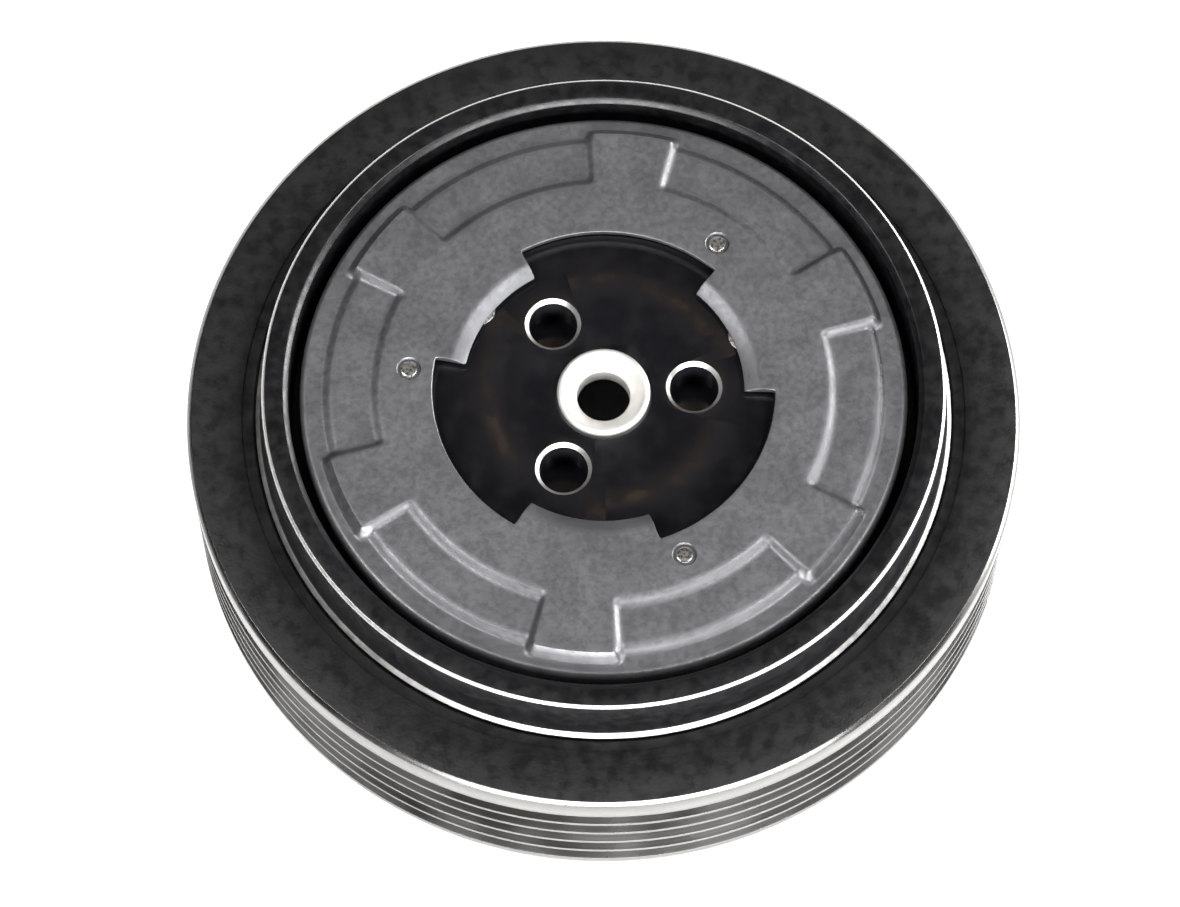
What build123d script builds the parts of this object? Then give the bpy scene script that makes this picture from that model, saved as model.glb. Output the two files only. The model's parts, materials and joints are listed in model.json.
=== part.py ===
"""Electromagnetic clutch with a multi-rib belt pulley, for a belt-driven compressor.

Millimetres. The Z axis is the shaft's axis and points to the front. The origin is the
centre of the mounting plate's rear face, on which the clutch rests.
"""

import os
from math import atan2, cos, degrees, radians, sin, tan

from build123d import *

# ---------------------------------------------------------------- driving sizes
# Pulley rim
pulley_r = 55.0
rim_width = 23.5
rim_back_z = 6.0
rim_chamfer = 0.6
rib_pitch = 3.56
groove_count = 5
groove_depth = 2.6
groove_half_angle = 20.0
rib_tip_flat = 0.6
front_band = 4.2
face_step_width = 1.8
face_step_depth = 0.25

# Rotor, whose outer wall stands in front of the rim as a collar
rotor_r = 45.9
collar_proud = 8.3
collar_wall = 4.7
collar_base_step = 0.6
collar_taper = 0.6
collar_edge = 0.4
collar_mouth_chamfer = 0.7
friction_wall = 5.0
friction_drop = 1.0
hub_side_wall = 2.0
bearing_shoulder = 1.7

# Flux slots and friction lining
slot_width = 1.4
slot_count = 6
slot_arc_deg = 48.0
inner_slot_offset = 3.1
outer_slot_offset = 2.5
slot_to_lining = 1.7
lining_depth = 1.5

# Armature and air gap
air_gap = 0.5
armature_inset = 0.3
armature_thick = 3.5
armature_core_gap = 2.0

# Cover plate: three levels above the rim's front face
cover_gap = 1.4
cover_rim_level = 6.2
cover_floor_level = 6.9
cover_top_level = 7.6
cover_edge = 0.5
rim_step_width = 3.3
land_step_width = 2.6
plateau_width = 7.3
land_count = 6
land_width_deg = 18.0
land_phase_deg = 24.0
opening_lap = 0.6
lobe_count = 3
lobe_width_deg = 49.0
lobe_foot_reach = 4.0
lobe_top_reach = 2.2
lobe_foot_height = 0.3

# Hub
hub_surface_level = 5.7
flange_r = 23.0
flange_width = 6.4
hub_core_thick = 8.2
hub_boss_r = 11.5
hub_boss_length = 1.4
shaft_r = 7.5
shim_lap = 0.8
shim_thick = 0.3
shim_count = 2
puller_hole_r = 3.2
puller_ring_r = 3.7
puller_pitch_r = 11.9
puller_depth = 6.0
puller_count = 3
puller_phase_deg = 4.0

# Centre bush
bush_r = 6.1
bush_proud = 0.8
bush_length = 4.5
bush_bore_r = 3.5
bush_cone_r = 5.4
bush_edge = 0.3

# Leaf springs, rivets and rubber stops
spring_thick = 0.4
spring_width = 6.0
hub_rivet_inset = 2.6
hub_rivet_r = 1.5
hub_rivet_head_r = 2.3
hub_rivet_head = 0.8
hub_rivet_tail_r = 2.2
hub_rivet_tail = 1.0
cover_rivet_outset = 2.6
cover_rivet_offset_deg = 30.0
cover_rivet_r = 0.9
cover_rivet_head_r = 1.15
cover_rivet_seat_r = 1.5
cover_rivet_seat_depth = 0.5
cover_rivet_head = 0.35
cover_rivet_tail_r = 1.7
rubber_stop_r = 1.9
rubber_stop_depth = 1.2
rubber_stop_inset = 2.4
rubber_stop_offset_deg = 60.0

# Ball bearing, 35 x 52 x 20
bearing_bore_r = 17.5
bearing_r = 26.0
bearing_width = 20.0
bearing_back_z = 5.0
bearing_ring_wall = 3.1
ball_r = 1.9
ball_rows = 2
balls_per_row = 16
row_spacing = 9.6
cage_thick = 1.7
cage_width = 5.0
seal_thick = 0.9
seal_inset = 0.1
ring_edge = 0.5
circlip_thick = 1.2
circlip_lap = 1.2
circlip_groove_depth = 1.0
circlip_gap_deg = 24.0

# Coil and mounting plate
plate_thick = 2.5
plate_lip = 2.4
plate_bore_r = 20.5
plate_hole_r = 2.75
plate_hole_pitch_r = 24.5
plate_hole_count = 3
plate_hole_phase_deg = 30.0
notch_r = 2.2
lead_angle_deg = 90.0
tab_width = 13.0
tab_reach = 50.5
tab_corner_r = 2.0
coil_air_gap = 0.6
shell_wall = 2.1
shell_floor = 2.5
shell_front_gap = 0.7
bobbin_wall = 0.9
bobbin_floor_gap = 1.2
winding_gap = 0.1
resin_thick = 2.0
resin_inset = 0.5
coil_rivet_r = 1.5
coil_rivet_head_r = 2.4
coil_rivet_head = 0.8
coil_rivet_count = 4
coil_rivet_phase_deg = 45.0
gland_width = 9.0
gland_height = 2.8
gland_depth = 4.0
gland_tab_inset = 0.7
terminal_r = 0.6
terminal_spacing = 4.0
terminal_mouth_r = 1.2
terminal_mouth_depth = 2.5

# Named clearances
seat_clearance = 0.02
running_clearance = 0.05
rotor_plate_gap = 0.6
join_overlap = 1.0
part_gap = 0.3
lobe_clearance = 0.75

# ---------------------------------------------------------------- radii
face_step_r = rotor_r + face_step_width
collar_bore_r = rotor_r - collar_wall
seat_wall_r = bearing_r + hub_side_wall
bearing_shoulder_r = bearing_r - bearing_shoulder
inner_slot_r = seat_wall_r + inner_slot_offset
outer_slot_r = collar_bore_r - outer_slot_offset
lining_inner_r = inner_slot_r + slot_to_lining
lining_outer_r = outer_slot_r - slot_to_lining
cover_r = collar_bore_r - cover_gap
cover_floor_r = cover_r - rim_step_width
land_r = cover_r - land_step_width
armature_r = cover_r - armature_inset
armature_slot_r = (lining_inner_r + lining_outer_r) / 2
opening_r = flange_r - opening_lap
plateau_r = opening_r + plateau_width
spring_room_r = plateau_r - part_gap
lobe_foot_r = opening_r - lobe_foot_reach
lobe_top_r = opening_r - lobe_top_reach
hub_core_r = flange_r - flange_width
armature_bore_r = hub_core_r + armature_core_gap
hub_rivet_pitch_r = flange_r - hub_rivet_inset
rubber_stop_pitch_r = flange_r - rubber_stop_inset
cover_rivet_pitch_r = flange_r + cover_rivet_outset
shim_r = bush_r + shim_lap
inner_land_r = bearing_bore_r + bearing_ring_wall
outer_land_r = bearing_r - bearing_ring_wall
ball_pitch_r = (inner_land_r + outer_land_r) / 2
circlip_inner_r = bearing_r - circlip_lap
circlip_groove_r = bearing_r + circlip_groove_depth
shell_inner_r = seat_wall_r + coil_air_gap
shell_outer_r = collar_bore_r - coil_air_gap
coil_inner_r = shell_inner_r + shell_wall
coil_outer_r = shell_outer_r - shell_wall
coil_middle_r = (coil_inner_r + coil_outer_r) / 2
plate_r = shell_outer_r + plate_lip
gland_inner = shell_outer_r - gland_depth
gland_reach = tab_reach - gland_tab_inset

# ---------------------------------------------------------------- heights
face_z = rim_back_z + rim_width
collar_top_z = face_z + collar_proud
friction_z = face_z - friction_drop
friction_back_z = friction_z - friction_wall
armature_back_z = friction_z + air_gap
armature_top_z = armature_back_z + armature_thick
flange_back_z = armature_top_z + spring_thick
hub_z = face_z + hub_surface_level
flange_thick = hub_z - flange_back_z
core_back_z = hub_z - hub_core_thick
boss_back_z = core_back_z - hub_boss_length
bush_top_z = hub_z + bush_proud
bush_back_z = bush_top_z - bush_length
shim_seat_z = bush_back_z - shim_count * shim_thick
cover_rim_z = face_z + cover_rim_level
cover_floor_z = face_z + cover_floor_level
cover_top_z = face_z + cover_top_level
lip_back_z = hub_z + lobe_clearance
bearing_front_z = bearing_back_z + bearing_width
bearing_middle_z = bearing_back_z + bearing_width / 2
circlip_back_z = bearing_back_z - circlip_thick
seat_wall_back_z = plate_thick + rotor_plate_gap
shell_floor_z = plate_thick + shell_floor
shell_top_z = friction_back_z - shell_front_gap
bobbin_back_z = shell_floor_z + bobbin_floor_gap
resin_top_z = shell_top_z - resin_inset
resin_back_z = resin_top_z - resin_thick
bobbin_top_z = resin_back_z - winding_gap
row_heights = [bearing_middle_z + row_spacing * (row - (ball_rows - 1) / 2) for row in range(ball_rows)]


def radial_plane(angle_deg):
    """Plane whose X runs outwards at this angle and whose Y runs up the shaft's axis."""
    angle = radians(angle_deg)
    outwards = (cos(angle), sin(angle), 0)
    return Plane(origin=(0, 0, 0), x_dir=outwards, z_dir=(sin(angle), -cos(angle), 0))


def polar(radius, angle_deg):
    """Point at this radius and angle round the shaft's axis."""
    return (radius * cos(radians(angle_deg)), radius * sin(radians(angle_deg)))


def angles(count, phase_deg):
    """Evenly spaced angles, starting at the phase."""
    return [phase_deg + 360 * step / count for step in range(count)]


lobe_angles = angles(lobe_count, land_phase_deg)
cover_rivet_angles = angles(lobe_count, land_phase_deg + cover_rivet_offset_deg)
rubber_stop_angles = angles(lobe_count, land_phase_deg + rubber_stop_offset_deg)
puller_angles = angles(puller_count, puller_phase_deg)
plate_hole_angles = angles(plate_hole_count, plate_hole_phase_deg)
coil_rivet_angles = angles(coil_rivet_count, coil_rivet_phase_deg)

# ---------------------------------------------------------------- pulley body
groove_half_top = (rib_pitch - rib_tip_flat) / 2
groove_half_bottom = groove_half_top - groove_depth * tan(radians(groove_half_angle))
groove_root_r = pulley_r - groove_depth

rim_outline = [
    (rotor_r, rim_back_z),
    (pulley_r - rim_chamfer, rim_back_z),
    (pulley_r, rim_back_z + rim_chamfer),
]
for groove in reversed(range(groove_count)):
    groove_z = face_z - front_band - rib_pitch * (groove + 0.5)
    rim_outline += [
        (pulley_r, groove_z - groove_half_top),
        (groove_root_r, groove_z - groove_half_bottom),
        (groove_root_r, groove_z + groove_half_bottom),
        (pulley_r, groove_z + groove_half_top),
    ]
rim_outline += [
    (pulley_r, face_z - rim_chamfer),
    (pulley_r - rim_chamfer, face_z),
    (face_step_r, face_z),
    (face_step_r, face_z - face_step_depth),
    (rotor_r + part_gap, face_z - face_step_depth),
    (rotor_r, face_z - face_step_depth - part_gap),
]

with BuildPart() as pulley_rim:
    with BuildSketch(Plane.XZ):
        with BuildLine():
            Polyline(*rim_outline, close=True)
        make_face()
    revolve(axis=Axis.Z)

with BuildPart() as rotor:
    with BuildSketch(Plane.XZ):
        with BuildLine():
            Polyline(
                (bearing_r, seat_wall_back_z),
                (seat_wall_r, seat_wall_back_z),
                (seat_wall_r, friction_back_z),
                (collar_bore_r, friction_back_z),
                (collar_bore_r, rim_back_z),
                (rotor_r, rim_back_z),
                (rotor_r, face_z),
                (rotor_r - collar_base_step, face_z + collar_base_step),
                (rotor_r - collar_base_step - collar_taper, collar_top_z - collar_edge),
                (rotor_r - collar_base_step - collar_taper - collar_edge, collar_top_z),
                (collar_bore_r + collar_mouth_chamfer, collar_top_z),
                (collar_bore_r, collar_top_z - collar_mouth_chamfer),
                (collar_bore_r, friction_z),
                (bearing_shoulder_r, friction_z),
                (bearing_shoulder_r, bearing_front_z),
                (bearing_r, bearing_front_z),
                close=True,
            )
        make_face()
    revolve(axis=Axis.Z)
    # groove for the bearing's circlip
    with BuildSketch(Plane.XY.offset(circlip_back_z - seat_clearance)):
        Circle(circlip_groove_r)
    extrude(amount=circlip_thick + seat_clearance, mode=Mode.SUBTRACT)
    # groove for the friction lining
    with BuildSketch(Plane.XY.offset(friction_z - lining_depth)):
        Circle(lining_outer_r)
        Circle(lining_inner_r, mode=Mode.SUBTRACT)
    extrude(amount=lining_depth, mode=Mode.SUBTRACT)
    # two rings of flux slots through the friction wall
    with BuildSketch(Plane.XY.offset(friction_back_z)):
        for slot_r in (inner_slot_r, outer_slot_r):
            for start in angles(slot_count, -slot_arc_deg / 2):
                with BuildLine():
                    slot_path = CenterArc((0, 0), slot_r, start, slot_arc_deg)
                SlotArc(arc=slot_path, height=slot_width)
    extrude(amount=friction_wall, mode=Mode.SUBTRACT)

with BuildPart() as friction_ring:
    with BuildSketch(Plane.XY.offset(friction_z - lining_depth)):
        Circle(lining_outer_r - seat_clearance)
        Circle(lining_inner_r + seat_clearance, mode=Mode.SUBTRACT)
    extrude(amount=lining_depth)

with BuildPart() as bearing_outer_ring:
    with BuildSketch(Plane.XY.offset(bearing_back_z)):
        Circle(bearing_r)
        Circle(outer_land_r, mode=Mode.SUBTRACT)
    extrude(amount=bearing_width)
    outer_edges = bearing_outer_ring.edges().filter_by(GeomType.CIRCLE).group_by(SortBy.RADIUS)[-1]
    chamfer(outer_edges, ring_edge)
    with Locations(*[(0, 0, height) for height in row_heights]):
        Torus(ball_pitch_r, ball_r + running_clearance, mode=Mode.SUBTRACT)


def seal_ring(back_z):
    """Sheet seal held in the outer ring, with a running gap to the inner ring."""
    with BuildPart() as seal:
        with BuildSketch(Plane.XY.offset(back_z)):
            Circle(outer_land_r)
            Circle(inner_land_r + running_clearance, mode=Mode.SUBTRACT)
        extrude(amount=seal_thick)
    return seal


bearing_front_seal = seal_ring(bearing_front_z - seal_inset - seal_thick)
bearing_rear_seal = seal_ring(bearing_back_z + seal_inset)

with BuildPart() as bearing_circlip:
    with BuildSketch(Plane.XY.offset(circlip_back_z)):
        Circle(circlip_groove_r - seat_clearance)
        Circle(circlip_inner_r, mode=Mode.SUBTRACT)
        with BuildLine():
            gap_reach = circlip_groove_r + join_overlap
            gap_arc = CenterArc((0, 0), gap_reach, -90 - circlip_gap_deg / 2, circlip_gap_deg)
            Line(gap_arc @ 0, (0, 0))
            Line((0, 0), gap_arc @ 1)
        make_face(mode=Mode.SUBTRACT)
    extrude(amount=circlip_thick)

# ---------------------------------------------------------------- cage body
with BuildPart() as bearing_cages:
    for height in row_heights:
        with BuildSketch(Plane.XY.offset(height - cage_width / 2)):
            Circle(ball_pitch_r + cage_thick / 2)
            Circle(ball_pitch_r - cage_thick / 2, mode=Mode.SUBTRACT)
        extrude(amount=cage_width)
    for height in row_heights:
        with Locations((0, 0, height)):
            with PolarLocations(ball_pitch_r, balls_per_row):
                Cylinder(
                    ball_r + running_clearance,
                    2 * cage_thick,
                    rotation=(0, 90, 0),
                    mode=Mode.SUBTRACT,
                )

with BuildPart() as bearing_balls:
    for height in row_heights:
        with Locations((0, 0, height)):
            with PolarLocations(ball_pitch_r, balls_per_row):
                Sphere(ball_r)

# ---------------------------------------------------------------- armature body
with BuildPart() as armature_plate:
    with BuildSketch(Plane.XY.offset(armature_back_z)):
        Circle(armature_r)
        Circle(armature_bore_r, mode=Mode.SUBTRACT)
        for start in angles(slot_count, -slot_arc_deg / 2):
            with BuildLine():
                slot_path = CenterArc((0, 0), armature_slot_r, start, slot_arc_deg)
            SlotArc(arc=slot_path, height=slot_width, mode=Mode.SUBTRACT)
        # notches that clear the tails of the hub's rivets
        for angle in lobe_angles:
            with Locations(Location((*polar(hub_rivet_pitch_r, angle), 0), (0, 0, angle))):
                Circle(hub_rivet_tail_r + lobe_clearance, mode=Mode.SUBTRACT)
                Rectangle(
                    hub_rivet_pitch_r - armature_bore_r + 2 * join_overlap,
                    2 * (hub_rivet_tail_r + lobe_clearance),
                    align=(Align.MAX, Align.CENTER),
                    mode=Mode.SUBTRACT,
                )
    extrude(amount=armature_thick)
    for angle in cover_rivet_angles:
        with BuildSketch(Plane.XY.offset(armature_back_z)):
            with Locations(polar(cover_rivet_pitch_r, angle)):
                Circle(cover_rivet_r + seat_clearance)
        extrude(amount=armature_thick, mode=Mode.SUBTRACT)
    for angle in cover_rivet_angles:
        with Locations((*polar(cover_rivet_pitch_r, angle), armature_back_z)):
            Cone(
                cover_rivet_tail_r + seat_clearance,
                cover_rivet_r + seat_clearance,
                cover_rivet_tail_r - cover_rivet_r,
                align=(Align.CENTER, Align.CENTER, Align.MIN),
                mode=Mode.SUBTRACT,
            )

with BuildPart() as cover_plate:
    with BuildSketch(Plane.XZ):
        with BuildLine():
            Polyline(
                (flange_r + part_gap, flange_back_z),
                (spring_room_r, flange_back_z),
                (spring_room_r, armature_top_z),
                (cover_r, armature_top_z),
                (cover_r, cover_rim_z - cover_edge),
                (cover_r - cover_edge, cover_rim_z),
                (cover_floor_r, cover_rim_z),
                (cover_floor_r, cover_floor_z),
                (plateau_r, cover_floor_z),
                (plateau_r, cover_top_z),
                (opening_r, cover_top_z),
                (opening_r, lip_back_z),
                (flange_r + part_gap, lip_back_z),
                close=True,
            )
        make_face()
    revolve(axis=Axis.Z)
    # raised lands between the pockets
    for angle in angles(land_count, land_phase_deg):
        with BuildSketch(radial_plane(angle - land_width_deg / 2)):
            with Locations((plateau_r - join_overlap, cover_rim_z)):
                Rectangle(
                    land_r - plateau_r + join_overlap,
                    cover_top_z - cover_rim_z,
                    align=(Align.MIN, Align.MIN),
                )
        revolve(axis=Axis.Z, revolution_arc=land_width_deg)
    # lobes that reach in over the hub, with a sloping inner edge
    for angle in lobe_angles:
        with BuildSketch(radial_plane(angle - lobe_width_deg / 2)):
            with BuildLine():
                Polyline(
                    (opening_r + join_overlap, lip_back_z),
                    (lobe_foot_r, lip_back_z),
                    (lobe_foot_r, lip_back_z + lobe_foot_height),
                    (lobe_top_r, cover_top_z),
                    (opening_r + join_overlap, cover_top_z),
                    close=True,
                )
            make_face()
        revolve(axis=Axis.Z, revolution_arc=lobe_width_deg)
    # rivet holes, each with a shallow seat for the rivet's head
    for angle in cover_rivet_angles:
        with Locations((*polar(cover_rivet_pitch_r, angle), cover_top_z)):
            CounterBoreHole(
                cover_rivet_r + seat_clearance,
                cover_rivet_seat_r,
                cover_rivet_seat_depth,
            )

with BuildPart() as cover_rivets:
    for angle in cover_rivet_angles:
        with Locations((*polar(cover_rivet_pitch_r, angle), armature_back_z)):
            Cylinder(
                cover_rivet_r,
                cover_top_z - cover_rivet_seat_depth - armature_back_z,
                align=(Align.CENTER, Align.CENTER, Align.MIN),
            )
            Cone(
                cover_rivet_tail_r,
                cover_rivet_r,
                cover_rivet_tail_r - cover_rivet_r,
                align=(Align.CENTER, Align.CENTER, Align.MIN),
            )
        with Locations((*polar(cover_rivet_pitch_r, angle), cover_top_z - cover_rivet_seat_depth)):
            Cylinder(
                cover_rivet_head_r,
                cover_rivet_head,
                align=(Align.CENTER, Align.CENTER, Align.MIN),
            )

# ---------------------------------------------------------------- hub body
with BuildPart() as hub:
    with BuildSketch(Plane.XZ):
        with BuildLine():
            Polyline(
                (shaft_r, boss_back_z),
                (hub_boss_r, boss_back_z),
                (hub_boss_r, core_back_z),
                (hub_core_r, core_back_z),
                (hub_core_r, flange_back_z),
                (flange_r, flange_back_z),
                (flange_r, hub_z - part_gap),
                (flange_r - part_gap, hub_z),
                (bush_r + seat_clearance, hub_z),
                (bush_r + seat_clearance, bush_back_z),
                (shim_r + seat_clearance, bush_back_z),
                (shim_r + seat_clearance, shim_seat_z),
                (shaft_r, shim_seat_z),
                close=True,
            )
        make_face()
    revolve(axis=Axis.Z)
    with Locations(Plane.XY.offset(hub_z)):
        for angle in puller_angles:
            with Locations(polar(puller_pitch_r, angle)):
                Hole(puller_hole_r, depth=puller_depth)
    for angle in puller_angles:
        with Locations((*polar(puller_pitch_r, angle), hub_z)):
            Cone(
                puller_hole_r,
                puller_ring_r,
                puller_ring_r - puller_hole_r,
                align=(Align.CENTER, Align.CENTER, Align.MAX),
                mode=Mode.SUBTRACT,
            )
    for angle in lobe_angles:
        with Locations((*polar(hub_rivet_pitch_r, angle), hub_z)):
            CounterSinkHole(
                hub_rivet_r + seat_clearance,
                hub_rivet_head_r + seat_clearance,
                depth=flange_thick,
                counter_sink_angle=90,
            )
    # blind seats for the rubber stops, open to the rear
    for angle in rubber_stop_angles:
        with Locations((*polar(rubber_stop_pitch_r, angle), flange_back_z)):
            Cylinder(
                rubber_stop_r + seat_clearance,
                rubber_stop_depth,
                align=(Align.CENTER, Align.CENTER, Align.MIN),
                mode=Mode.SUBTRACT,
            )

with BuildPart() as centre_bush:
    with BuildSketch(Plane.XZ):
        with BuildLine():
            Polyline(
                (bush_bore_r, bush_back_z),
                (bush_r, bush_back_z),
                (bush_r, bush_top_z - bush_edge),
                (bush_r - bush_edge, bush_top_z),
                (bush_cone_r, bush_top_z),
                (bush_bore_r, bush_top_z - (bush_cone_r - bush_bore_r)),
                close=True,
            )
        make_face()
    revolve(axis=Axis.Z)

with BuildPart() as gap_shims:
    for step in range(shim_count):
        with BuildSketch(Plane.XY.offset(shim_seat_z + step * shim_thick)):
            Circle(shim_r)
            Circle(bush_bore_r + part_gap, mode=Mode.SUBTRACT)
        extrude(amount=shim_thick - seat_clearance)

with BuildPart() as leaf_springs:
    for hub_angle, cover_angle in zip(lobe_angles, cover_rivet_angles):
        hub_end = Vector(*polar(hub_rivet_pitch_r, hub_angle))
        cover_end = Vector(*polar(cover_rivet_pitch_r, cover_angle))
        with BuildSketch(Plane.XY.offset(armature_top_z)):
            with BuildLine():
                spring_line = Line(hub_end, cover_end)
            middle = spring_line @ 0.5
            run = cover_end - hub_end
            lean_deg = degrees(atan2(run.Y, run.X))
            with Locations(Location((middle.X, middle.Y, 0), (0, 0, lean_deg))):
                SlotCenterToCenter(run.length, spring_width)
            with Locations(hub_end):
                Circle(hub_rivet_r + seat_clearance, mode=Mode.SUBTRACT)
            with Locations(cover_end):
                Circle(cover_rivet_r + 2 * running_clearance, mode=Mode.SUBTRACT)
        extrude(amount=spring_thick)

with BuildPart() as hub_rivets:
    for angle in lobe_angles:
        with BuildSketch(radial_plane(angle)):
            with BuildLine():
                Polyline(
                    (hub_rivet_pitch_r, hub_z),
                    (hub_rivet_pitch_r + hub_rivet_head_r, hub_z),
                    (hub_rivet_pitch_r + hub_rivet_r, hub_z - hub_rivet_head),
                    (hub_rivet_pitch_r + hub_rivet_r, armature_top_z),
                    (hub_rivet_pitch_r + hub_rivet_tail_r, armature_top_z),
                    (hub_rivet_pitch_r + hub_rivet_tail_r, armature_top_z - hub_rivet_tail),
                    (hub_rivet_pitch_r, armature_top_z - hub_rivet_tail),
                    close=True,
                )
            make_face()
        revolve(axis=Axis((*polar(hub_rivet_pitch_r, angle), 0), (0, 0, 1)))

with BuildPart() as rubber_stops:
    for angle in rubber_stop_angles:
        with Locations((*polar(rubber_stop_pitch_r, angle), armature_top_z)):
            Cylinder(
                rubber_stop_r,
                flange_back_z - armature_top_z + rubber_stop_depth,
                align=(Align.CENTER, Align.CENTER, Align.MIN),
            )

# ---------------------------------------------------------------- stator body
with BuildPart() as mounting_plate:
    with BuildSketch():
        Circle(plate_r)
        with Locations(Location((0, 0, 0), (0, 0, lead_angle_deg))):
            Rectangle(tab_reach, tab_width, align=(Align.MIN, Align.CENTER))
        Circle(plate_bore_r, mode=Mode.SUBTRACT)
        for angle in plate_hole_angles:
            with Locations(polar(plate_hole_pitch_r, angle)):
                Circle(plate_hole_r, mode=Mode.SUBTRACT)
        with Locations(polar(plate_r, lead_angle_deg + 180)):
            Circle(notch_r, mode=Mode.SUBTRACT)
    extrude(amount=plate_thick)
    tab_corners = mounting_plate.edges().filter_by(Axis.Z).group_by(Axis.Y)[-1]
    fillet(tab_corners, tab_corner_r)
    for angle in coil_rivet_angles:
        with Locations((*polar(coil_middle_r, angle), plate_thick)):
            Hole(coil_rivet_r + seat_clearance)
        with Locations((*polar(coil_middle_r, angle), 0)):
            Cone(
                coil_rivet_head_r + seat_clearance,
                coil_rivet_r + seat_clearance,
                coil_rivet_head_r - coil_rivet_r,
                align=(Align.CENTER, Align.CENTER, Align.MIN),
                mode=Mode.SUBTRACT,
            )

with BuildPart() as coil_shell:
    with BuildSketch(Plane.XZ):
        with BuildLine():
            Polyline(
                (shell_inner_r, plate_thick),
                (shell_outer_r, plate_thick),
                (shell_outer_r, shell_top_z),
                (coil_outer_r, shell_top_z),
                (coil_outer_r, shell_floor_z),
                (coil_inner_r, shell_floor_z),
                (coil_inner_r, shell_top_z),
                (shell_inner_r, shell_top_z),
                close=True,
            )
        make_face()
    revolve(axis=Axis.Z)
    for angle in coil_rivet_angles:
        with Locations((*polar(coil_middle_r, angle), shell_floor_z)):
            Hole(coil_rivet_r + seat_clearance)
    # window in the rear corner for the lead's gland
    with Locations(Location((0, 0, plate_thick), (0, 0, lead_angle_deg))):
        with Locations((gland_inner - seat_clearance, 0, 0)):
            Box(
                shell_outer_r,
                gland_width + 2 * seat_clearance,
                gland_height + 2 * seat_clearance,
                align=(Align.MIN, Align.CENTER, Align.MIN),
                mode=Mode.SUBTRACT,
            )

with BuildPart() as coil_rivets:
    for angle in coil_rivet_angles:
        with BuildSketch(radial_plane(angle)):
            with BuildLine():
                Polyline(
                    (coil_middle_r, 0),
                    (coil_middle_r + coil_rivet_head_r, 0),
                    (coil_middle_r + coil_rivet_r, coil_rivet_head_r - coil_rivet_r),
                    (coil_middle_r + coil_rivet_r, shell_floor_z),
                    (coil_middle_r + coil_rivet_head_r, shell_floor_z),
                    (coil_middle_r + coil_rivet_r, shell_floor_z + coil_rivet_head),
                    (coil_middle_r, shell_floor_z + coil_rivet_head),
                    close=True,
                )
            make_face()
        revolve(axis=Axis((*polar(coil_middle_r, angle), 0), (0, 0, 1)))

bobbin_inner_r = coil_inner_r + part_gap
bobbin_outer_r = coil_outer_r - part_gap

with BuildPart() as coil_bobbin:
    with BuildSketch(Plane.XZ):
        with BuildLine():
            Polyline(
                (bobbin_inner_r, bobbin_back_z),
                (bobbin_outer_r, bobbin_back_z),
                (bobbin_outer_r, bobbin_back_z + bobbin_wall),
                (bobbin_inner_r + bobbin_wall, bobbin_back_z + bobbin_wall),
                (bobbin_inner_r + bobbin_wall, bobbin_top_z - bobbin_wall),
                (bobbin_outer_r, bobbin_top_z - bobbin_wall),
                (bobbin_outer_r, bobbin_top_z),
                (bobbin_inner_r, bobbin_top_z),
                close=True,
            )
        make_face()
    revolve(axis=Axis.Z)

with BuildPart() as coil_winding:
    with BuildSketch(Plane.XY.offset(bobbin_back_z + bobbin_wall + winding_gap)):
        Circle(bobbin_outer_r - part_gap)
        Circle(bobbin_inner_r + bobbin_wall + winding_gap, mode=Mode.SUBTRACT)
    extrude(amount=bobbin_top_z - bobbin_back_z - 2 * (bobbin_wall + winding_gap))

with BuildPart() as coil_resin:
    with BuildSketch(Plane.XY.offset(resin_back_z)):
        Circle(coil_outer_r - seat_clearance)
        Circle(coil_inner_r + seat_clearance, mode=Mode.SUBTRACT)
    extrude(amount=resin_thick)

terminal_offsets = [-terminal_spacing / 2, terminal_spacing / 2]
terminal_z = plate_thick + seat_clearance + gland_height / 2
gland_side = Plane(origin=(0, 0, 0), x_dir=(-1, 0, 0), z_dir=(0, 1, 0))

with BuildPart() as lead_gland:
    with BuildSketch(gland_side.offset(gland_inner)):
        with Locations((0, terminal_z)):
            RectangleRounded(gland_width, gland_height, gland_height / 3)
    extrude(amount=gland_reach - gland_inner)
    with BuildSketch(gland_side.offset(gland_inner)):
        with Locations(*[(offset_x, terminal_z) for offset_x in terminal_offsets]):
            Circle(terminal_r + seat_clearance)
    extrude(amount=gland_reach - gland_inner, mode=Mode.SUBTRACT)
    with BuildSketch(gland_side.offset(gland_reach)):
        with Locations(*[(offset_x, terminal_z) for offset_x in terminal_offsets]):
            Circle(terminal_mouth_r)
    extrude(amount=-terminal_mouth_depth, mode=Mode.SUBTRACT)

with BuildPart() as lead_terminals:
    with BuildSketch(gland_side.offset(gland_inner)):
        with Locations(*[(offset_x, terminal_z) for offset_x in terminal_offsets]):
            Circle(terminal_r)
    extrude(amount=gland_reach - gland_inner - terminal_mouth_depth / 2)

with BuildPart() as bearing_inner_ring:
    with BuildSketch(Plane.XY.offset(bearing_back_z)):
        Circle(inner_land_r)
        Circle(bearing_bore_r, mode=Mode.SUBTRACT)
    extrude(amount=bearing_width)
    inner_edges = bearing_inner_ring.edges().filter_by(GeomType.CIRCLE).group_by(SortBy.RADIUS)[0]
    chamfer(inner_edges, ring_edge)
    with Locations(*[(0, 0, height) for height in row_heights]):
        Torus(ball_pitch_r, ball_r + running_clearance, mode=Mode.SUBTRACT)

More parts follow.
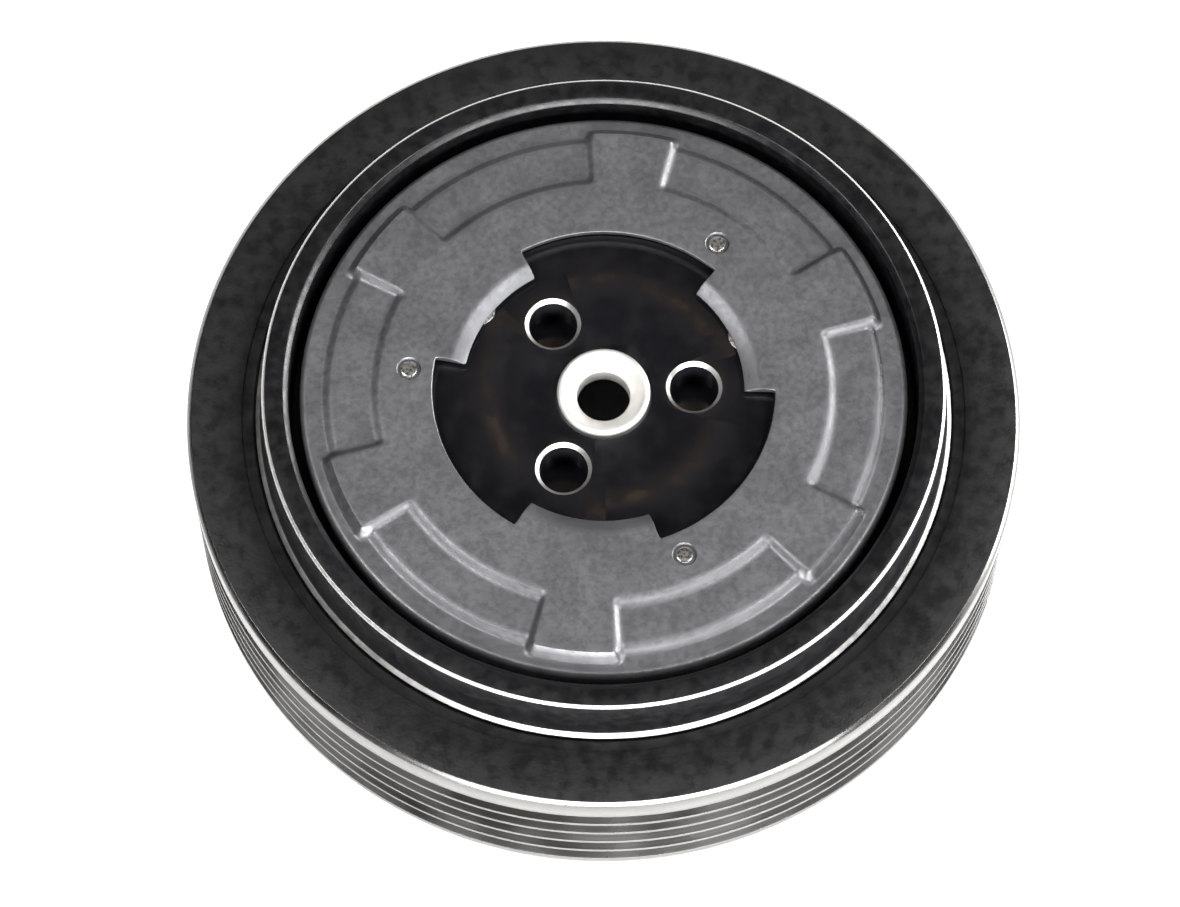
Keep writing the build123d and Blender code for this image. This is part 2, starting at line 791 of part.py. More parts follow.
# ---------------------------------------------------------------- output
pieces = {
    "mounting_plate": mounting_plate,
    "coil_shell": coil_shell,
    "coil_rivets": coil_rivets,
    "coil_bobbin": coil_bobbin,
    "coil_winding": coil_winding,
    "coil_resin": coil_resin,
    "lead_gland": lead_gland,
    "lead_terminals": lead_terminals,
    "bearing_inner_ring": bearing_inner_ring,
    "pulley_rim": pulley_rim,
    "rotor": rotor,
    "friction_ring": friction_ring,
    "bearing_outer_ring": bearing_outer_ring,
    "bearing_front_seal": bearing_front_seal,
    "bearing_rear_seal": bearing_rear_seal,
    "bearing_circlip": bearing_circlip,
    "bearing_cages": bearing_cages,
    "bearing_balls": bearing_balls,
    "hub": hub,
    "centre_bush": centre_bush,
    "gap_shims": gap_shims,
    "leaf_springs": leaf_springs,
    "hub_rivets": hub_rivets,
    "rubber_stops": rubber_stops,
    "armature_plate": armature_plate,
    "cover_plate": cover_plate,
    "cover_rivets": cover_rivets,
}

os.makedirs("parts", exist_ok=True)
for name, piece in pieces.items():
    piece.part.label = name
    export_step(piece.part, f"parts/{name}.step")
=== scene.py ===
"""Looks of an electromagnetic clutch with a ribbed belt pulley.

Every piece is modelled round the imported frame, in metres, and stands where its CAD node stands.
"""

import json
from math import atan2, cos, hypot, pi, radians, sin, tan

import bmesh
import bpy
from mathutils import Matrix, Vector

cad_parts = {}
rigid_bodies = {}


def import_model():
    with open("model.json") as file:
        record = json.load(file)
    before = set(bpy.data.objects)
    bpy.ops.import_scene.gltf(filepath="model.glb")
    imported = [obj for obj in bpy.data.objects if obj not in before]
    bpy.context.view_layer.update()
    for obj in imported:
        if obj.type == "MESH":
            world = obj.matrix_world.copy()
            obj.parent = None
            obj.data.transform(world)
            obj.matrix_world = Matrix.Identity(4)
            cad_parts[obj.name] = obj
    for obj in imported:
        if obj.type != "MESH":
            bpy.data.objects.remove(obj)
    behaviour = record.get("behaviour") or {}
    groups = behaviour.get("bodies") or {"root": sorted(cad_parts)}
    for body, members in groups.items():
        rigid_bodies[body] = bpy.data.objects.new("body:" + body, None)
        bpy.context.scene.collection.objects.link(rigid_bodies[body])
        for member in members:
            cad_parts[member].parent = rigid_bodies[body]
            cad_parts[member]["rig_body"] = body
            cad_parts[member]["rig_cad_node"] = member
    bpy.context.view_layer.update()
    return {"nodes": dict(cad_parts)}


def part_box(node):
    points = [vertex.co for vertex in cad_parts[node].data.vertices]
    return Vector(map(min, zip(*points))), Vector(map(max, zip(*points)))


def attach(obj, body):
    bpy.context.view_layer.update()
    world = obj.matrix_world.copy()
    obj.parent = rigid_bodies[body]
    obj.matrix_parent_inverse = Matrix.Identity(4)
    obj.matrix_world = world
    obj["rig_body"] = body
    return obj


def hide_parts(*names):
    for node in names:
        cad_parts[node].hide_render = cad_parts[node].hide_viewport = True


bl_info = {
    "name": "Electromagnetic clutch",
    "version": (1, 0, 0),
    "blender": (4, 5, 0),
    "location": "3D View > Sidebar > Clutch",
    "description": "Models and finishes the pieces of an electromagnetic clutch",
    "category": "Add Mesh",
}

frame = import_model()

MM = 0.001
FULL_TURN = 2 * pi
# steps round a turned piece, or along a slot's or a clip's arc
FINE_STEPS = 288
PLATE_STEPS = 480
SEAL_STEPS = 192
CLIP_STEPS = 180
BUSH_STEPS = 128
HOLE_STEPS = 64
SMALL_STEPS = 40
SLOT_STEPS = 24
RACE_POINTS = 8
SMOOTH_ANGLE = radians(30)
MERGE_DISTANCE = 0.002 * MM
HAIR = 0.01 * MM
OVERCUT = 1.0 * MM  # how far a cutter passes the face that it cuts
EDGE_BAND = 0.15 * MM  # keeps the cover plate's edges crisp when it is smoothed
SOFT_EDGE, FINE_EDGE, CRISP_EDGE = 0.1 * MM, 0.08 * MM, 0.05 * MM


# ---------------------------------------------------------------- sizes and colours
def radius_of(node):
    """Outside radius of a round CAD node."""
    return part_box(node)[1].x


def back_of(node):
    """Height of a CAD node's rear face."""
    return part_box(node)[0].z


def front_of(node):
    """Height of a CAD node's front face."""
    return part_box(node)[1].z


def length(name, description, default):
    """A size property in metres."""
    return bpy.props.FloatProperty(
        name=name, description=description, default=default, unit="LENGTH", precision=5
    )


def turn(name, description, default_deg):
    """An angle property, given in degrees."""
    return bpy.props.FloatProperty(
        name=name, description=description, default=radians(default_deg), subtype="ANGLE"
    )


def count(name, description, default):
    """A whole number of like features."""
    return bpy.props.IntProperty(name=name, description=description, default=default, min=1)


def linear(hex_colour):
    """Linear RGB of an sRGB hex colour."""
    channels = [int(hex_colour[i : i + 2], 16) / 255 for i in (1, 3, 5)]
    return [c / 12.92 if c <= 0.04045 else ((c + 0.055) / 1.055) ** 2.4 for c in channels]


def tint(name, description, hex_colour):
    """A colour property, given as sRGB hex."""
    return bpy.props.FloatVectorProperty(
        name=name,
        description=description,
        default=linear(hex_colour),
        size=3,
        min=0,
        max=1,
        subtype="COLOR",
    )


class RimSizes(bpy.types.PropertyGroup):
    """Sizes of the pulley's rim."""

    radius: length("Radius", "Outside of the ribs", radius_of("pulley_rim"))
    bore: length("Bore", "Where the rim meets the rotor", radius_of("rotor"))
    back: length("Back", "Height of the rear face", back_of("pulley_rim"))
    face: length("Face", "Height of the front face", front_of("pulley_rim"))
    chamfer: length("Chamfer", "Bare chamfer at both ends", 0.6 * MM)
    grooves: count("Grooves", "Grooves for the belt's ribs", 5)
    pitch: length("Pitch", "Distance from groove to groove", 3.56 * MM)
    depth: length("Depth", "Depth of a groove", 2.6 * MM)
    flank: turn("Flank", "Half angle of a groove", 20)
    tip: length("Tip", "Flat at the top of a rib", 0.6 * MM)
    band: length("Band", "Smooth band in front of the grooves", 4.2 * MM)
    step: length("Step", "Radius of the face's shallow step", 47.7 * MM)
    step_depth: length("Step depth", "Drop inside the face's step", 0.25 * MM)
    seam: length("Seam", "Bevel where the rotor passes through", 0.35 * MM)
    edge: length("Edge", "Rounding of the edges", 0.09 * MM)


class RotorSizes(bpy.types.PropertyGroup):
    """Sizes of the rotor and its collar."""

    radius: length("Radius", "Outside of the wall", radius_of("rotor"))
    bore: length("Bore", "Inside of the wall", 41.2 * MM)
    seat: length("Seat", "Where the bearing sits", radius_of("bearing_outer_ring"))
    seat_wall: length("Seat wall", "Thickness round the bearing", 2.0 * MM)
    shoulder: length("Shoulder", "Lip over the bearing", 1.7 * MM)
    base_step: length("Base step", "Bare slope at the foot of the collar", 0.6 * MM)
    taper: length("Taper", "Lean of the collar's wall", 0.6 * MM)
    crown: length("Crown", "Bare edge round the collar's top", 0.4 * MM)
    mouth: length("Mouth", "Chamfer inside the collar's top", 0.7 * MM)
    wall: length("Friction wall", "Thickness of the wall that the armature meets", 5.0 * MM)
    lining_depth: length("Lining depth", "Depth of the lining's groove", 1.5 * MM)
    lining_bore: length("Lining bore", "Inside of the lining", 32.8 * MM)
    slots: count("Slots", "Flux slots in each ring", 6)
    slot_arc: turn("Slot arc", "Reach of one flux slot", 48)
    slot_width: length("Slot width", "Width of a flux slot", 1.4 * MM)
    inner_slot: length("Inner slots", "Radius of the inner slots", 31.1 * MM)
    outer_slot: length("Outer slots", "Radius of the outer slots", 38.7 * MM)
    edge: length("Edge", "Rounding of the edges", 0.12 * MM)


class CoverSizes(bpy.types.PropertyGroup):
    """Sizes of the grey cover plate."""

    radius: length("Radius", "Outside of the plate", radius_of("cover_plate"))
    back: length("Back", "Where it lies on the armature", back_of("cover_plate"))
    top: length("Top", "Height of the raised ring and the lands", front_of("cover_plate"))
    step: length("Step", "Drop from the top to a pocket's floor, and on to the rim", 0.7 * MM)
    opening: length("Opening", "Radius of the opening over the hub", 22.4 * MM)
    flange_room: length("Flange room", "Radius that clears the hub's flange", 23.3 * MM)
    lobe_foot: length("Lobe foot", "Radius at the foot of a lobe's slope", 18.4 * MM)
    lobe_top: length("Lobe top", "Radius at the top of a lobe's slope", 20.2 * MM)
    lobe_drop: length("Lobe drop", "Drop of a lobe's slope", 0.85 * MM)
    lip: length("Lip", "Thickness of the lip over the hub", 1.15 * MM)
    spring_room: length("Spring room", "Clearance over the leaf springs", 0.55 * MM)
    ring: length("Ring", "Outside of the raised ring", 29.4 * MM)
    floor: length("Floor", "Outside of the pockets' floors", 35.8 * MM)
    land: length("Land", "Outside of the lands", 36.9 * MM)
    draft: length("Draft", "Width of a sloping wall", 1.0 * MM)
    support: length("Support", "Flat kept beside a rounded edge", 0.25 * MM)
    rim_edge: length("Rim edge", "Slope at the outer edge", 0.5 * MM)
    lands: count("Lands", "Raised lands between the pockets", 6)
    lobes: count("Lobes", "Lobes over the hub", 3)
    phase: turn("Phase", "Middle of the first land and lobe", 24)
    land_width: turn("Land width", "Reach of a land's top", 16.5)
    end_steps: count("End steps", "Steps of the plate that a land's end slopes over", 2)
    lobe_width: turn("Lobe width", "Reach of a lobe", 49.5)


class HubSizes(bpy.types.PropertyGroup):
    """Sizes of the black hub."""

    radius: length("Radius", "Outside of the flange", radius_of("hub"))
    back: length("Back", "Height of the boss's rear face", back_of("hub"))
    top: length("Top", "Height of the black face", front_of("hub"))
    flange: length("Flange", "Thickness of the flange", 2.3 * MM)
    core: length("Core", "Radius of the thick middle", 16.6 * MM)
    core_back: length("Core back", "Height of the thick middle's rear", 27.0 * MM)
    boss: length("Boss", "Radius of the boss", 11.5 * MM)
    shaft: length("Shaft", "Radius of the shaft's bore", 7.5 * MM)
    holes: count("Holes", "Threaded holes for a puller", 3)
    hole: length("Hole", "Radius of a puller hole", 3.2 * MM)
    hole_ring: length("Hole ring", "Outside of a hole's bare chamfer", 3.7 * MM)
    hole_pitch: length("Hole pitch", "Radius of the holes' circle", 11.9 * MM)
    hole_depth: length("Hole depth", "Depth of a puller hole", 6.0 * MM)
    hole_phase: turn("Hole phase", "Angle of the first hole", 4)
    edge: length("Edge", "Chamfer round the flange", 0.3 * MM)
    thread: length("Thread", "Pitch of the thread in the holes", 1.0 * MM)


class BushSizes(bpy.types.PropertyGroup):
    """Sizes of the bright bush and of its seat."""

    radius: length("Radius", "Outside of the bush", radius_of("centre_bush"))
    back: length("Back", "Height of the rear face", back_of("centre_bush"))
    top: length("Top", "Height of the front face", front_of("centre_bush"))
    bore: length("Bore", "Radius of the bolt's bore", 3.5 * MM)
    cone: length("Cone", "Outside of the countersink", 5.4 * MM)
    edge: length("Edge", "Chamfer round the front", 0.3 * MM)
    seat: length("Seat", "Clearance of the hub's seat", 0.02 * MM)
    shim: length("Shim", "Outside of a shim", radius_of("gap_shims"))
    shim_back: length("Shim back", "Height of the shims' seat", back_of("gap_shims"))


class RivetSizes(bpy.types.PropertyGroup):
    """Sizes of the rivets in the plate and the hub."""

    pitch: length("Pitch", "Radius of the plate rivets' circle", 25.6 * MM)
    offset: turn("Offset", "Angle from a lobe to the next rivet", 30)
    shank: length("Shank", "Radius of a plate rivet", 0.9 * MM)
    head: length("Head", "Radius of its head", 1.15 * MM)
    head_height: length("Head height", "Height of its head", 0.35 * MM)
    tail: length("Tail", "Radius of its tail", 1.7 * MM)
    seat: length("Seat", "Radius of the seat round the head", 1.5 * MM)
    seat_depth: length("Seat depth", "Depth of the seat", 0.5 * MM)
    lead_in: length("Lead-in", "Slope at the top of the seat", 0.12 * MM)
    dome: length("Dome", "Slope round the head", 0.1 * MM)
    hub_pitch: length("Hub pitch", "Radius of the hub rivets' circle", 20.4 * MM)
    hub_shank: length("Hub shank", "Radius of a hub rivet", 1.5 * MM)
    hub_head: length("Hub head", "Radius of its sunk head", 2.3 * MM)
    hub_head_height: length("Hub head height", "Depth of its sunk head", 0.8 * MM)
    hub_tail: length("Hub tail", "Radius of its tail", 2.2 * MM)
    hub_tail_height: length("Hub tail height", "Height of its tail", 1.0 * MM)


class BearingSizes(bpy.types.PropertyGroup):
    """Sizes of the bearing's rings, seals and circlip."""

    bore: length("Bore", "Inside of the inner ring", 17.5 * MM)
    inner: length("Inner land", "Outside of the inner ring", radius_of("bearing_inner_ring"))
    outer: length("Outer land", "Inside of the outer ring", 22.9 * MM)
    radius: length("Radius", "Outside of the outer ring", radius_of("bearing_outer_ring"))
    back: length("Back", "Height of the rear face", back_of("bearing_inner_ring"))
    front: length("Front", "Height of the front face", front_of("bearing_inner_ring"))
    ball: length("Ball", "Radius of a ball", 1.9 * MM)
    rows: length("Rows", "Distance between the rows of balls", 9.6 * MM)
    race_gap: length("Race gap", "Running clearance of a ball", 0.05 * MM)
    chamfer: length("Chamfer", "Chamfer of the rings", 0.5 * MM)
    lip: length("Lip", "Width of a seal's lip", 0.6 * MM)
    dish: length("Dish", "How far a seal's web is dished", 0.2 * MM)
    circlip_bore: length("Circlip bore", "Inside of the circlip", 24.8 * MM)
    circlip_gap: turn("Circlip gap", "Gap between the circlip's ends", 24)


class CoilSizes(bpy.types.PropertyGroup):
    """Sizes of the coil's shell and rivets."""

    radius: length("Radius", "Outside of the shell", radius_of("coil_shell"))
    bore: length("Bore", "Inside of the shell", 28.6 * MM)
    wall: length("Wall", "Thickness of the shell's walls", 2.1 * MM)
    back: length("Back", "Height of the rear face", back_of("coil_shell"))
    floor: length("Floor", "Thickness of the floor", 2.5 * MM)
    front: length("Front", "Height of the open edge", front_of("coil_shell"))
    rivets: count("Rivets", "Rivets into the mounting plate", 4)
    rivet_phase: turn("Rivet phase", "Angle of the first rivet", 45)
    rivet: length("Rivet", "Radius of a rivet", 1.5 * MM)
    rivet_head: length("Rivet head", "Radius of its sunk head", 2.4 * MM)
    rivet_tail: length("Rivet tail", "Height of its tail", 0.8 * MM)
    window_gap: length("Window gap", "Clearance round the lead's outlet", 0.02 * MM)
    edge: length("Edge", "Rounding of the edges", 0.3 * MM)


class PlateSizes(bpy.types.PropertyGroup):
    """Edges of the mounting plate and of the lead's outlet."""

    edge: length("Plate edge", "Rounding of the sheet's edges", 0.2 * MM)
    gland_edge: length("Outlet edge", "Rounding of the rubber outlet", 0.15 * MM)
    end_edge: length("End edge", "Rounding of the winding's ends", 0.08 * MM)


class StageSizes(bpy.types.PropertyGroup):
    """Sizes of the floor and the place of the camera."""

    floor: length("Floor", "Width of the floor", 6.0)
    distance: length("Distance", "Camera to the middle of the front face", 0.6596)
    elevation: turn("Elevation", "Camera above the horizon", 67.5)
    aside: length("Aside", "How far the object sits right of the middle", 1.78 * MM)
    above: length("Above", "How far the object sits above the middle", 5.74 * MM)
    near: length("Near", "Nearest distance that the camera sees", 0.01)
    sensor_mm: count("Sensor", "Width of the camera's sensor in millimetres", 36)
    lens_mm: bpy.props.FloatProperty(
        name="Lens", description="Focal length in millimetres", default=152.5
    )


class Finishes(bpy.types.PropertyGroup):
    """Colours of the materials."""

    rim: tint("Rim", "Black dip coat of the rim", "#0c0c0d")
    rotor: tint("Rotor", "Black dip coat of the rotor", "#060608")
    casting: tint("Casting", "Blasted aluminium of the cover plate", "#7b7b7e")
    enamel: tint("Enamel", "Black enamel of the hub", "#121215")
    bright: tint("Bright", "Turned steel of the bush", "#f4f2ee")
    grooved: tint("Grooved", "Bare steel of the belt's track", "#7b7a78")
    bare: tint("Bare edge", "Bare steel where the coat is gone", "#c9c8c6")
    zinc: tint("Zinc", "Zinc plate of the stator's steel", "#a9a79c")
    ground: tint("Ground", "Ground steel of the bearing", "#cfd0d3")
    mild: tint("Mild", "Ground mild steel of the armature", "#8f8f90")
    spring: tint("Spring", "Blued spring strip", "#55575c")
    rivet: tint("Rivet", "Plated rivets", "#c4c3bf")
    copper: tint("Copper", "Enamelled copper wire", "#8f4a22")
    brass: tint("Brass", "Drawn brass ends", "#c8a254")
    rubber: tint("Rubber", "Moulded rubber", "#17171a")
    seal: tint("Seal", "Nitrile seals", "#2e1c17")
    resin: tint("Resin", "Cast epoxy over the coil", "#111113")
    bobbin: tint("Bobbin", "Glass-filled nylon", "#1c1c1d")
    cage: tint("Cage", "Natural nylon cages", "#b9ad8a")
    lining: tint("Lining", "Pressed friction lining", "#2b2621")
    floor: tint("Floor", "Studio board", "#fbfbfa")


# ---------------------------------------------------------------- modelling by hand
def deselect_all():
    """Leaves edit mode with nothing selected."""
    if bpy.context.mode != "OBJECT":
        bpy.ops.object.mode_set(mode="OBJECT")
    bpy.ops.object.select_all(action="DESELECT")


def make_active(piece):
    """Selects this piece alone."""
    deselect_all()
    piece.select_set(True)
    bpy.context.view_layer.objects.active = piece


def new_piece(name):
    """Names the object that was just added."""
    piece = bpy.context.object
    piece.name = name
    piece.data.name = name
    return piece


def select_parts(piece, kind, test):
    """In edit mode, selects only the vertices or faces for which the test is true."""
    bpy.ops.mesh.select_mode(type=kind)
    bpy.ops.mesh.select_all(action="DESELECT")
    mesh = bmesh.from_edit_mesh(piece.data)
    for part in mesh.verts if kind == "VERT" else mesh.faces:
        if test(part):
            part.select_set(True)
    mesh.select_flush_mode()
    bmesh.update_edit_mesh(piece.data)


def close_shell():
    """In edit mode, merges doubles and points the faces outwards."""
    bpy.ops.mesh.select_all(action="SELECT")
    bpy.ops.mesh.remove_doubles(threshold=MERGE_DISTANCE)
    bpy.ops.mesh.normals_make_consistent(inside=False)


def turned(name, outline, steps=FINE_STEPS, arc=FULL_TURN, start=0.0):
    """A solid turned round the Z axis from an outline of (radius, height) points."""
    deselect_all()
    bpy.ops.mesh.primitive_plane_add(size=MM, location=(0, 0, 0))
    piece = new_piece(name)
    points = [Vector((r * cos(start), r * sin(start), z)) for r, z in outline]
    ends = (points[0], points[-1])
    bpy.ops.object.mode_set(mode="EDIT")
    bpy.ops.mesh.select_mode(type="VERT")
    bpy.ops.mesh.select_all(action="SELECT")
    bpy.ops.mesh.merge(type="CENTER")
    bpy.ops.transform.translate(value=points[0])
    for here, there in zip(points, points[1:]):
        bpy.ops.mesh.extrude_region_move(TRANSFORM_OT_translate={"value": there - here})
    if max(outline[0][0], outline[-1][0]) > HAIR:
        select_parts(piece, "VERT", lambda v: min((v.co - end).length for end in ends) < HAIR)
        bpy.ops.mesh.edge_face_add()
    bpy.ops.mesh.select_all(action="SELECT")
    if arc < FULL_TURN:
        bpy.ops.mesh.edge_face_add()
    bpy.ops.mesh.spin(steps=steps, angle=arc, center=(0, 0, 0), axis=(0, 0, 1))
    close_shell()
    bpy.ops.object.mode_set(mode="OBJECT")
    return piece


def apply_modifier(piece, kind, **settings):
    """Adds a modifier with these settings and applies it."""
    make_active(piece)
    modifier = piece.modifiers.new(kind.title(), kind)
    for key, value in settings.items():
        setattr(modifier, key, value)
    bpy.ops.object.modifier_apply(modifier=modifier.name)


def eased(piece, width):
    """Rounds every sharp edge."""
    angle = radians(25)
    settings = {"width": width, "segments": 2, "limit_method": "ANGLE", "angle_limit": angle}
    apply_modifier(piece, "BEVEL", **settings)


def cut_away(piece, cutter):
    """Takes the cutter's solid out of the piece."""
    apply_modifier(piece, "BOOLEAN", operation="DIFFERENCE", solver="EXACT", object=cutter)
    make_active(cutter)
    bpy.ops.object.delete()


def join_up(pieces):
    """Joins like pieces into the first one."""
    deselect_all()
    for piece in pieces:
        piece.select_set(True)
    bpy.context.view_layer.objects.active = pieces[0]
    bpy.ops.object.join()
    return pieces[0]


def round_the_axis(piece, radius, angles):
    """Copies a piece made on the Z axis to each of these angles and joins the copies."""
    copies = [piece]
    for _angle in angles[1:]:
        make_active(piece)
        bpy.ops.object.duplicate()
        copies.append(bpy.context.object)
    for copy, angle in zip(copies, angles):
        make_active(copy)
        copy.matrix_world = Matrix.Rotation(angle, 4, "Z") @ Matrix.Translation((radius, 0, 0))
        bpy.ops.object.transform_apply(location=True, rotation=True, scale=True)
    return join_up(copies)


def evenly(number, phase):
    """Evenly spaced angles from the phase."""
    return [phase + FULL_TURN * step / number for step in range(number)]


def paint_faces(piece, slot_index, test):
    """Gives the faces for which the test is true the material in this slot."""
    make_active(piece)
    bpy.ops.object.mode_set(mode="EDIT")
    select_parts(piece, "FACE", test)
    piece.active_material_index = slot_index
    bpy.ops.object.material_slot_assign()
    bpy.ops.object.mode_set(mode="OBJECT")


def place_of(part):
    """Place of a vertex, or of a face's middle."""
    return part.co if isinstance(part, bmesh.types.BMVert) else part.calc_center_median()


def radius_at(part):
    """Distance of a vertex or a face's middle from the Z axis."""
    place = place_of(part)
    return hypot(place.x, place.y)


def height_at(part):
    """Height of a vertex or a face's middle."""
    return place_of(part).z


def within_turn(part, middle, half):
    """Whether a vertex lies within this half angle of a direction."""
    apart = (atan2(part.co.y, part.co.x) - middle + pi) % FULL_TURN - pi
    return abs(apart) <= half + radians(0.05)


def wear(piece, *finishes):
    """Gives a piece its materials, in slot order."""
    piece.data.materials.clear()
    for finish in finishes:
        piece.data.materials.append(finish)


def set_in_place(piece, body, node):
    """Smooths a piece and lets it stand for its CAD node."""
    make_active(piece)
    bpy.ops.object.shade_smooth_by_angle(angle=SMOOTH_ANGLE)
    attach(piece, body)
    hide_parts(node)


def refined_copy(name, node, edge):
    """A merged copy of a CAD node with its edges rounded."""
    make_active(frame["nodes"][node])
    bpy.ops.object.duplicate()
    piece = new_piece(name)
    piece.parent = None
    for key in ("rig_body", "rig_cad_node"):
        if key in piece:
            del piece[key]
    bpy.ops.mesh.customdata_custom_splitnormals_clear()
    bpy.ops.object.mode_set(mode="EDIT")
    close_shell()
    bpy.ops.mesh.dissolve_limited(angle_limit=radians(1))
    bpy.ops.object.mode_set(mode="OBJECT")
    eased(piece, edge)
    return piece


# ---------------------------------------------------------------- materials
def add_node(tree, kind, settings=None, inputs=None):
    """Adds a shader node, sets its properties, and sets or links its inputs."""
    node = tree.nodes.new(kind)
    for key, value in (settings or {}).items():
        setattr(node, key, value)
    for key, value in (inputs or {}).items():
        if isinstance(value, bpy.types.NodeSocket):
            tree.links.new(value, node.inputs[key])
        else:
            node.inputs[key].default_value = value
    return node


class Finish:
    """A material with a Principled shader, and the patterns that are laid on it."""

    def __init__(self, name, colour, metallic, roughness):
        self.material = bpy.data.materials.new(name)
        self.material.use_nodes = True
        self.tree = self.material.node_tree
        self.shader = self.tree.nodes["Principled BSDF"]
        self.colour = Vector(colour)
        self.shader.inputs["Base Color"].default_value = (*colour, 1)
        self.shader.inputs["Metallic"].default_value = metallic
        self.shader.inputs["Roughness"].default_value = roughness
        self.place = add_node(self.tree, "ShaderNodeTexCoord").outputs["Object"]
        self.relief = None

    def grain(self, size_mm, detail=3.0, stretch=(1.0, 1.0, 1.0)):
        """Cloudy pattern with spots of this size."""
        inputs = {"Vector": self.place, "Scale": stretch}
        drawn = add_node(self.tree, "ShaderNodeMapping", None, inputs).outputs["Vector"]
        inputs = {"Vector": drawn, "Scale": 1 / (size_mm * MM), "Detail": detail}
        return add_node(self.tree, "ShaderNodeTexNoise", None, inputs).outputs["Fac"]

    def tool_lines(self, pitch_mm, up_the_wall):
        """Fine lines left by a lathe tool: hoops up a wall, or rings on a face."""
        parts = add_node(self.tree, "ShaderNodeSeparateXYZ", None, {"Vector": self.place}).outputs
        reach = parts["Z"]
        if not up_the_wall:
            flat = {"X": parts["X"], "Y": parts["Y"]}
            flat = add_node(self.tree, "ShaderNodeCombineXYZ", None, flat).outputs[0]
            settings = {"operation": "LENGTH"}
            reach = add_node(self.tree, "ShaderNodeVectorMath", settings, {0: flat})
            reach = reach.outputs["Value"]
        inputs = {"W": reach, "Scale": 1 / (pitch_mm * MM), "Detail": 2.0}
        settings = {"noise_dimensions": "1D"}
        return add_node(self.tree, "ShaderNodeTexNoise", settings, inputs).outputs["Fac"]

    def lay(self, pattern, tone=None, gloss=None, relief_mm=None, limits=(0.35, 0.65)):
        """Lays a pattern on: in the brightness, in the roughness, as relief."""
        if tone or gloss:
            inputs = {"Value": pattern, "From Min": limits[0], "From Max": limits[1]}
            share = add_node(self.tree, "ShaderNodeMapRange", None, inputs).outputs["Result"]
        if tone:
            darkest, lightest = (*(self.colour * tone[0]), 1), (*(self.colour * tone[1]), 1)
            inputs = {0: share, 6: darkest, 7: lightest}
            mixed = add_node(self.tree, "ShaderNodeMix", {"data_type": "RGBA"}, inputs)
            self.tree.links.new(mixed.outputs[2], self.shader.inputs["Base Color"])
        if gloss:
            inputs = {"Value": share, "To Min": gloss[0], "To Max": gloss[1]}
            rough = add_node(self.tree, "ShaderNodeMapRange", None, inputs).outputs["Result"]
            self.tree.links.new(rough, self.shader.inputs["Roughness"])
        if relief_mm:
            inputs = {"Height": pattern, "Distance": relief_mm * MM}
            if self.relief is not None:
                inputs["Normal"] = self.relief
            self.relief = add_node(self.tree, "ShaderNodeBump", None, inputs).outputs["Normal"]
            self.tree.links.new(self.relief, self.shader.inputs["Normal"])
        return self


def rim_coating(tints):
    """Cathodic dip coat on turned steel: black and satin, with soft blotches and a fine grain."""
    coat = Finish("black_dip_coat_on_turned_steel", tints.rim, 0.0, 0.45)
    coat.lay(coat.grain(7.0, 5.0), tone=(0.75, 1.7))
    coat.lay(coat.grain(1.8), gloss=(0.36, 0.56))
    coat.lay(coat.tool_lines(0.5, False), relief_mm=0.01)
    coat.lay(coat.grain(0.4), relief_mm=0.03)
    return coat.material


def rotor_coating(tints):
    """The same dip coat on a smoother wall: softer reflections and less grain."""
    coat = Finish("black_dip_coat_on_rotor", tints.rotor, 0.0, 0.36)
    coat.lay(coat.grain(6.0), tone=(0.8, 1.5))
    coat.lay(coat.grain(1.6), gloss=(0.3, 0.44))
    coat.lay(coat.grain(0.5), relief_mm=0.015)
    return coat.material


def blasted_casting(tints):
    """Die-cast aluminium, shot blasted: matte grey with a peened skin and dull soft glints."""
    cast = Finish("shot_blasted_aluminium_casting", tints.casting, 0.9, 0.46)
    cast.lay(cast.grain(5.0, 5.0), tone=(0.88, 1.1))
    cast.lay(cast.grain(0.8), gloss=(0.42, 0.52))
    cast.lay(cast.grain(1.6, 2.0), relief_mm=0.02)
    cast.lay(cast.grain(0.28, 4.0), relief_mm=0.015)
    return cast.material


def hub_enamel(tints):
    """Stove enamel on a forging: deep black and glossy, with faint orange peel and slow waves."""
    enamel = Finish("black_stove_enamel", tints.enamel, 0.0, 0.18)
    enamel.lay(enamel.grain(3.0), gloss=(0.14, 0.26))
    enamel.lay(enamel.grain(9.0, 1.0), relief_mm=0.02)
    enamel.lay(enamel.grain(1.4, 2.0), relief_mm=0.004)
    return enamel.material


def bright_turned(tints):
    """Free-cutting steel, turned and left bare: bright, with fine rings from the tool."""
    steel = Finish("bright_turned_steel", tints.bright, 0.85, 0.52)
    steel.lay(steel.grain(1.2), gloss=(0.48, 0.56))
    steel.lay(steel.tool_lines(0.12, False), relief_mm=0.002)
    return steel.material


def grooved_steel(tints):
    """Steel wall turned bare after coating: hoops that spread a light up and down the wall."""
    steel = Finish("bare_turned_belt_track", tints.grooved, 1.0, 0.26)
    steel.lay(steel.grain(9.0, 1.0), gloss=(0.22, 0.3))
    steel.lay(steel.tool_lines(0.16, True), tone=(0.9, 1.05), relief_mm=0.004)
    return steel.material


def bare_edge(tints):
    """Edges where the tool or wear took the coat off: narrow, bright and slightly dull."""
    steel = Finish("bare_steel_edge", tints.bare, 1.0, 0.45)
    steel.lay(steel.grain(1.5), gloss=(0.38, 0.52))
    steel.lay(steel.grain(0.4), relief_mm=0.008)
    return steel.material


def zinc_plate(tints):
    """Zinc-plated pressed steel: pale silver with a faint warm bloom and a patchy shine."""
    zinc = Finish("zinc_plated_pressed_steel", tints.zinc, 1.0, 0.38)
    zinc.lay(zinc.grain(7.0, 4.0), tone=(0.85, 1.15))
    zinc.lay(zinc.grain(2.0), gloss=(0.3, 0.5))
    zinc.lay(zinc.grain(0.5), relief_mm=0.012)
    return zinc.material


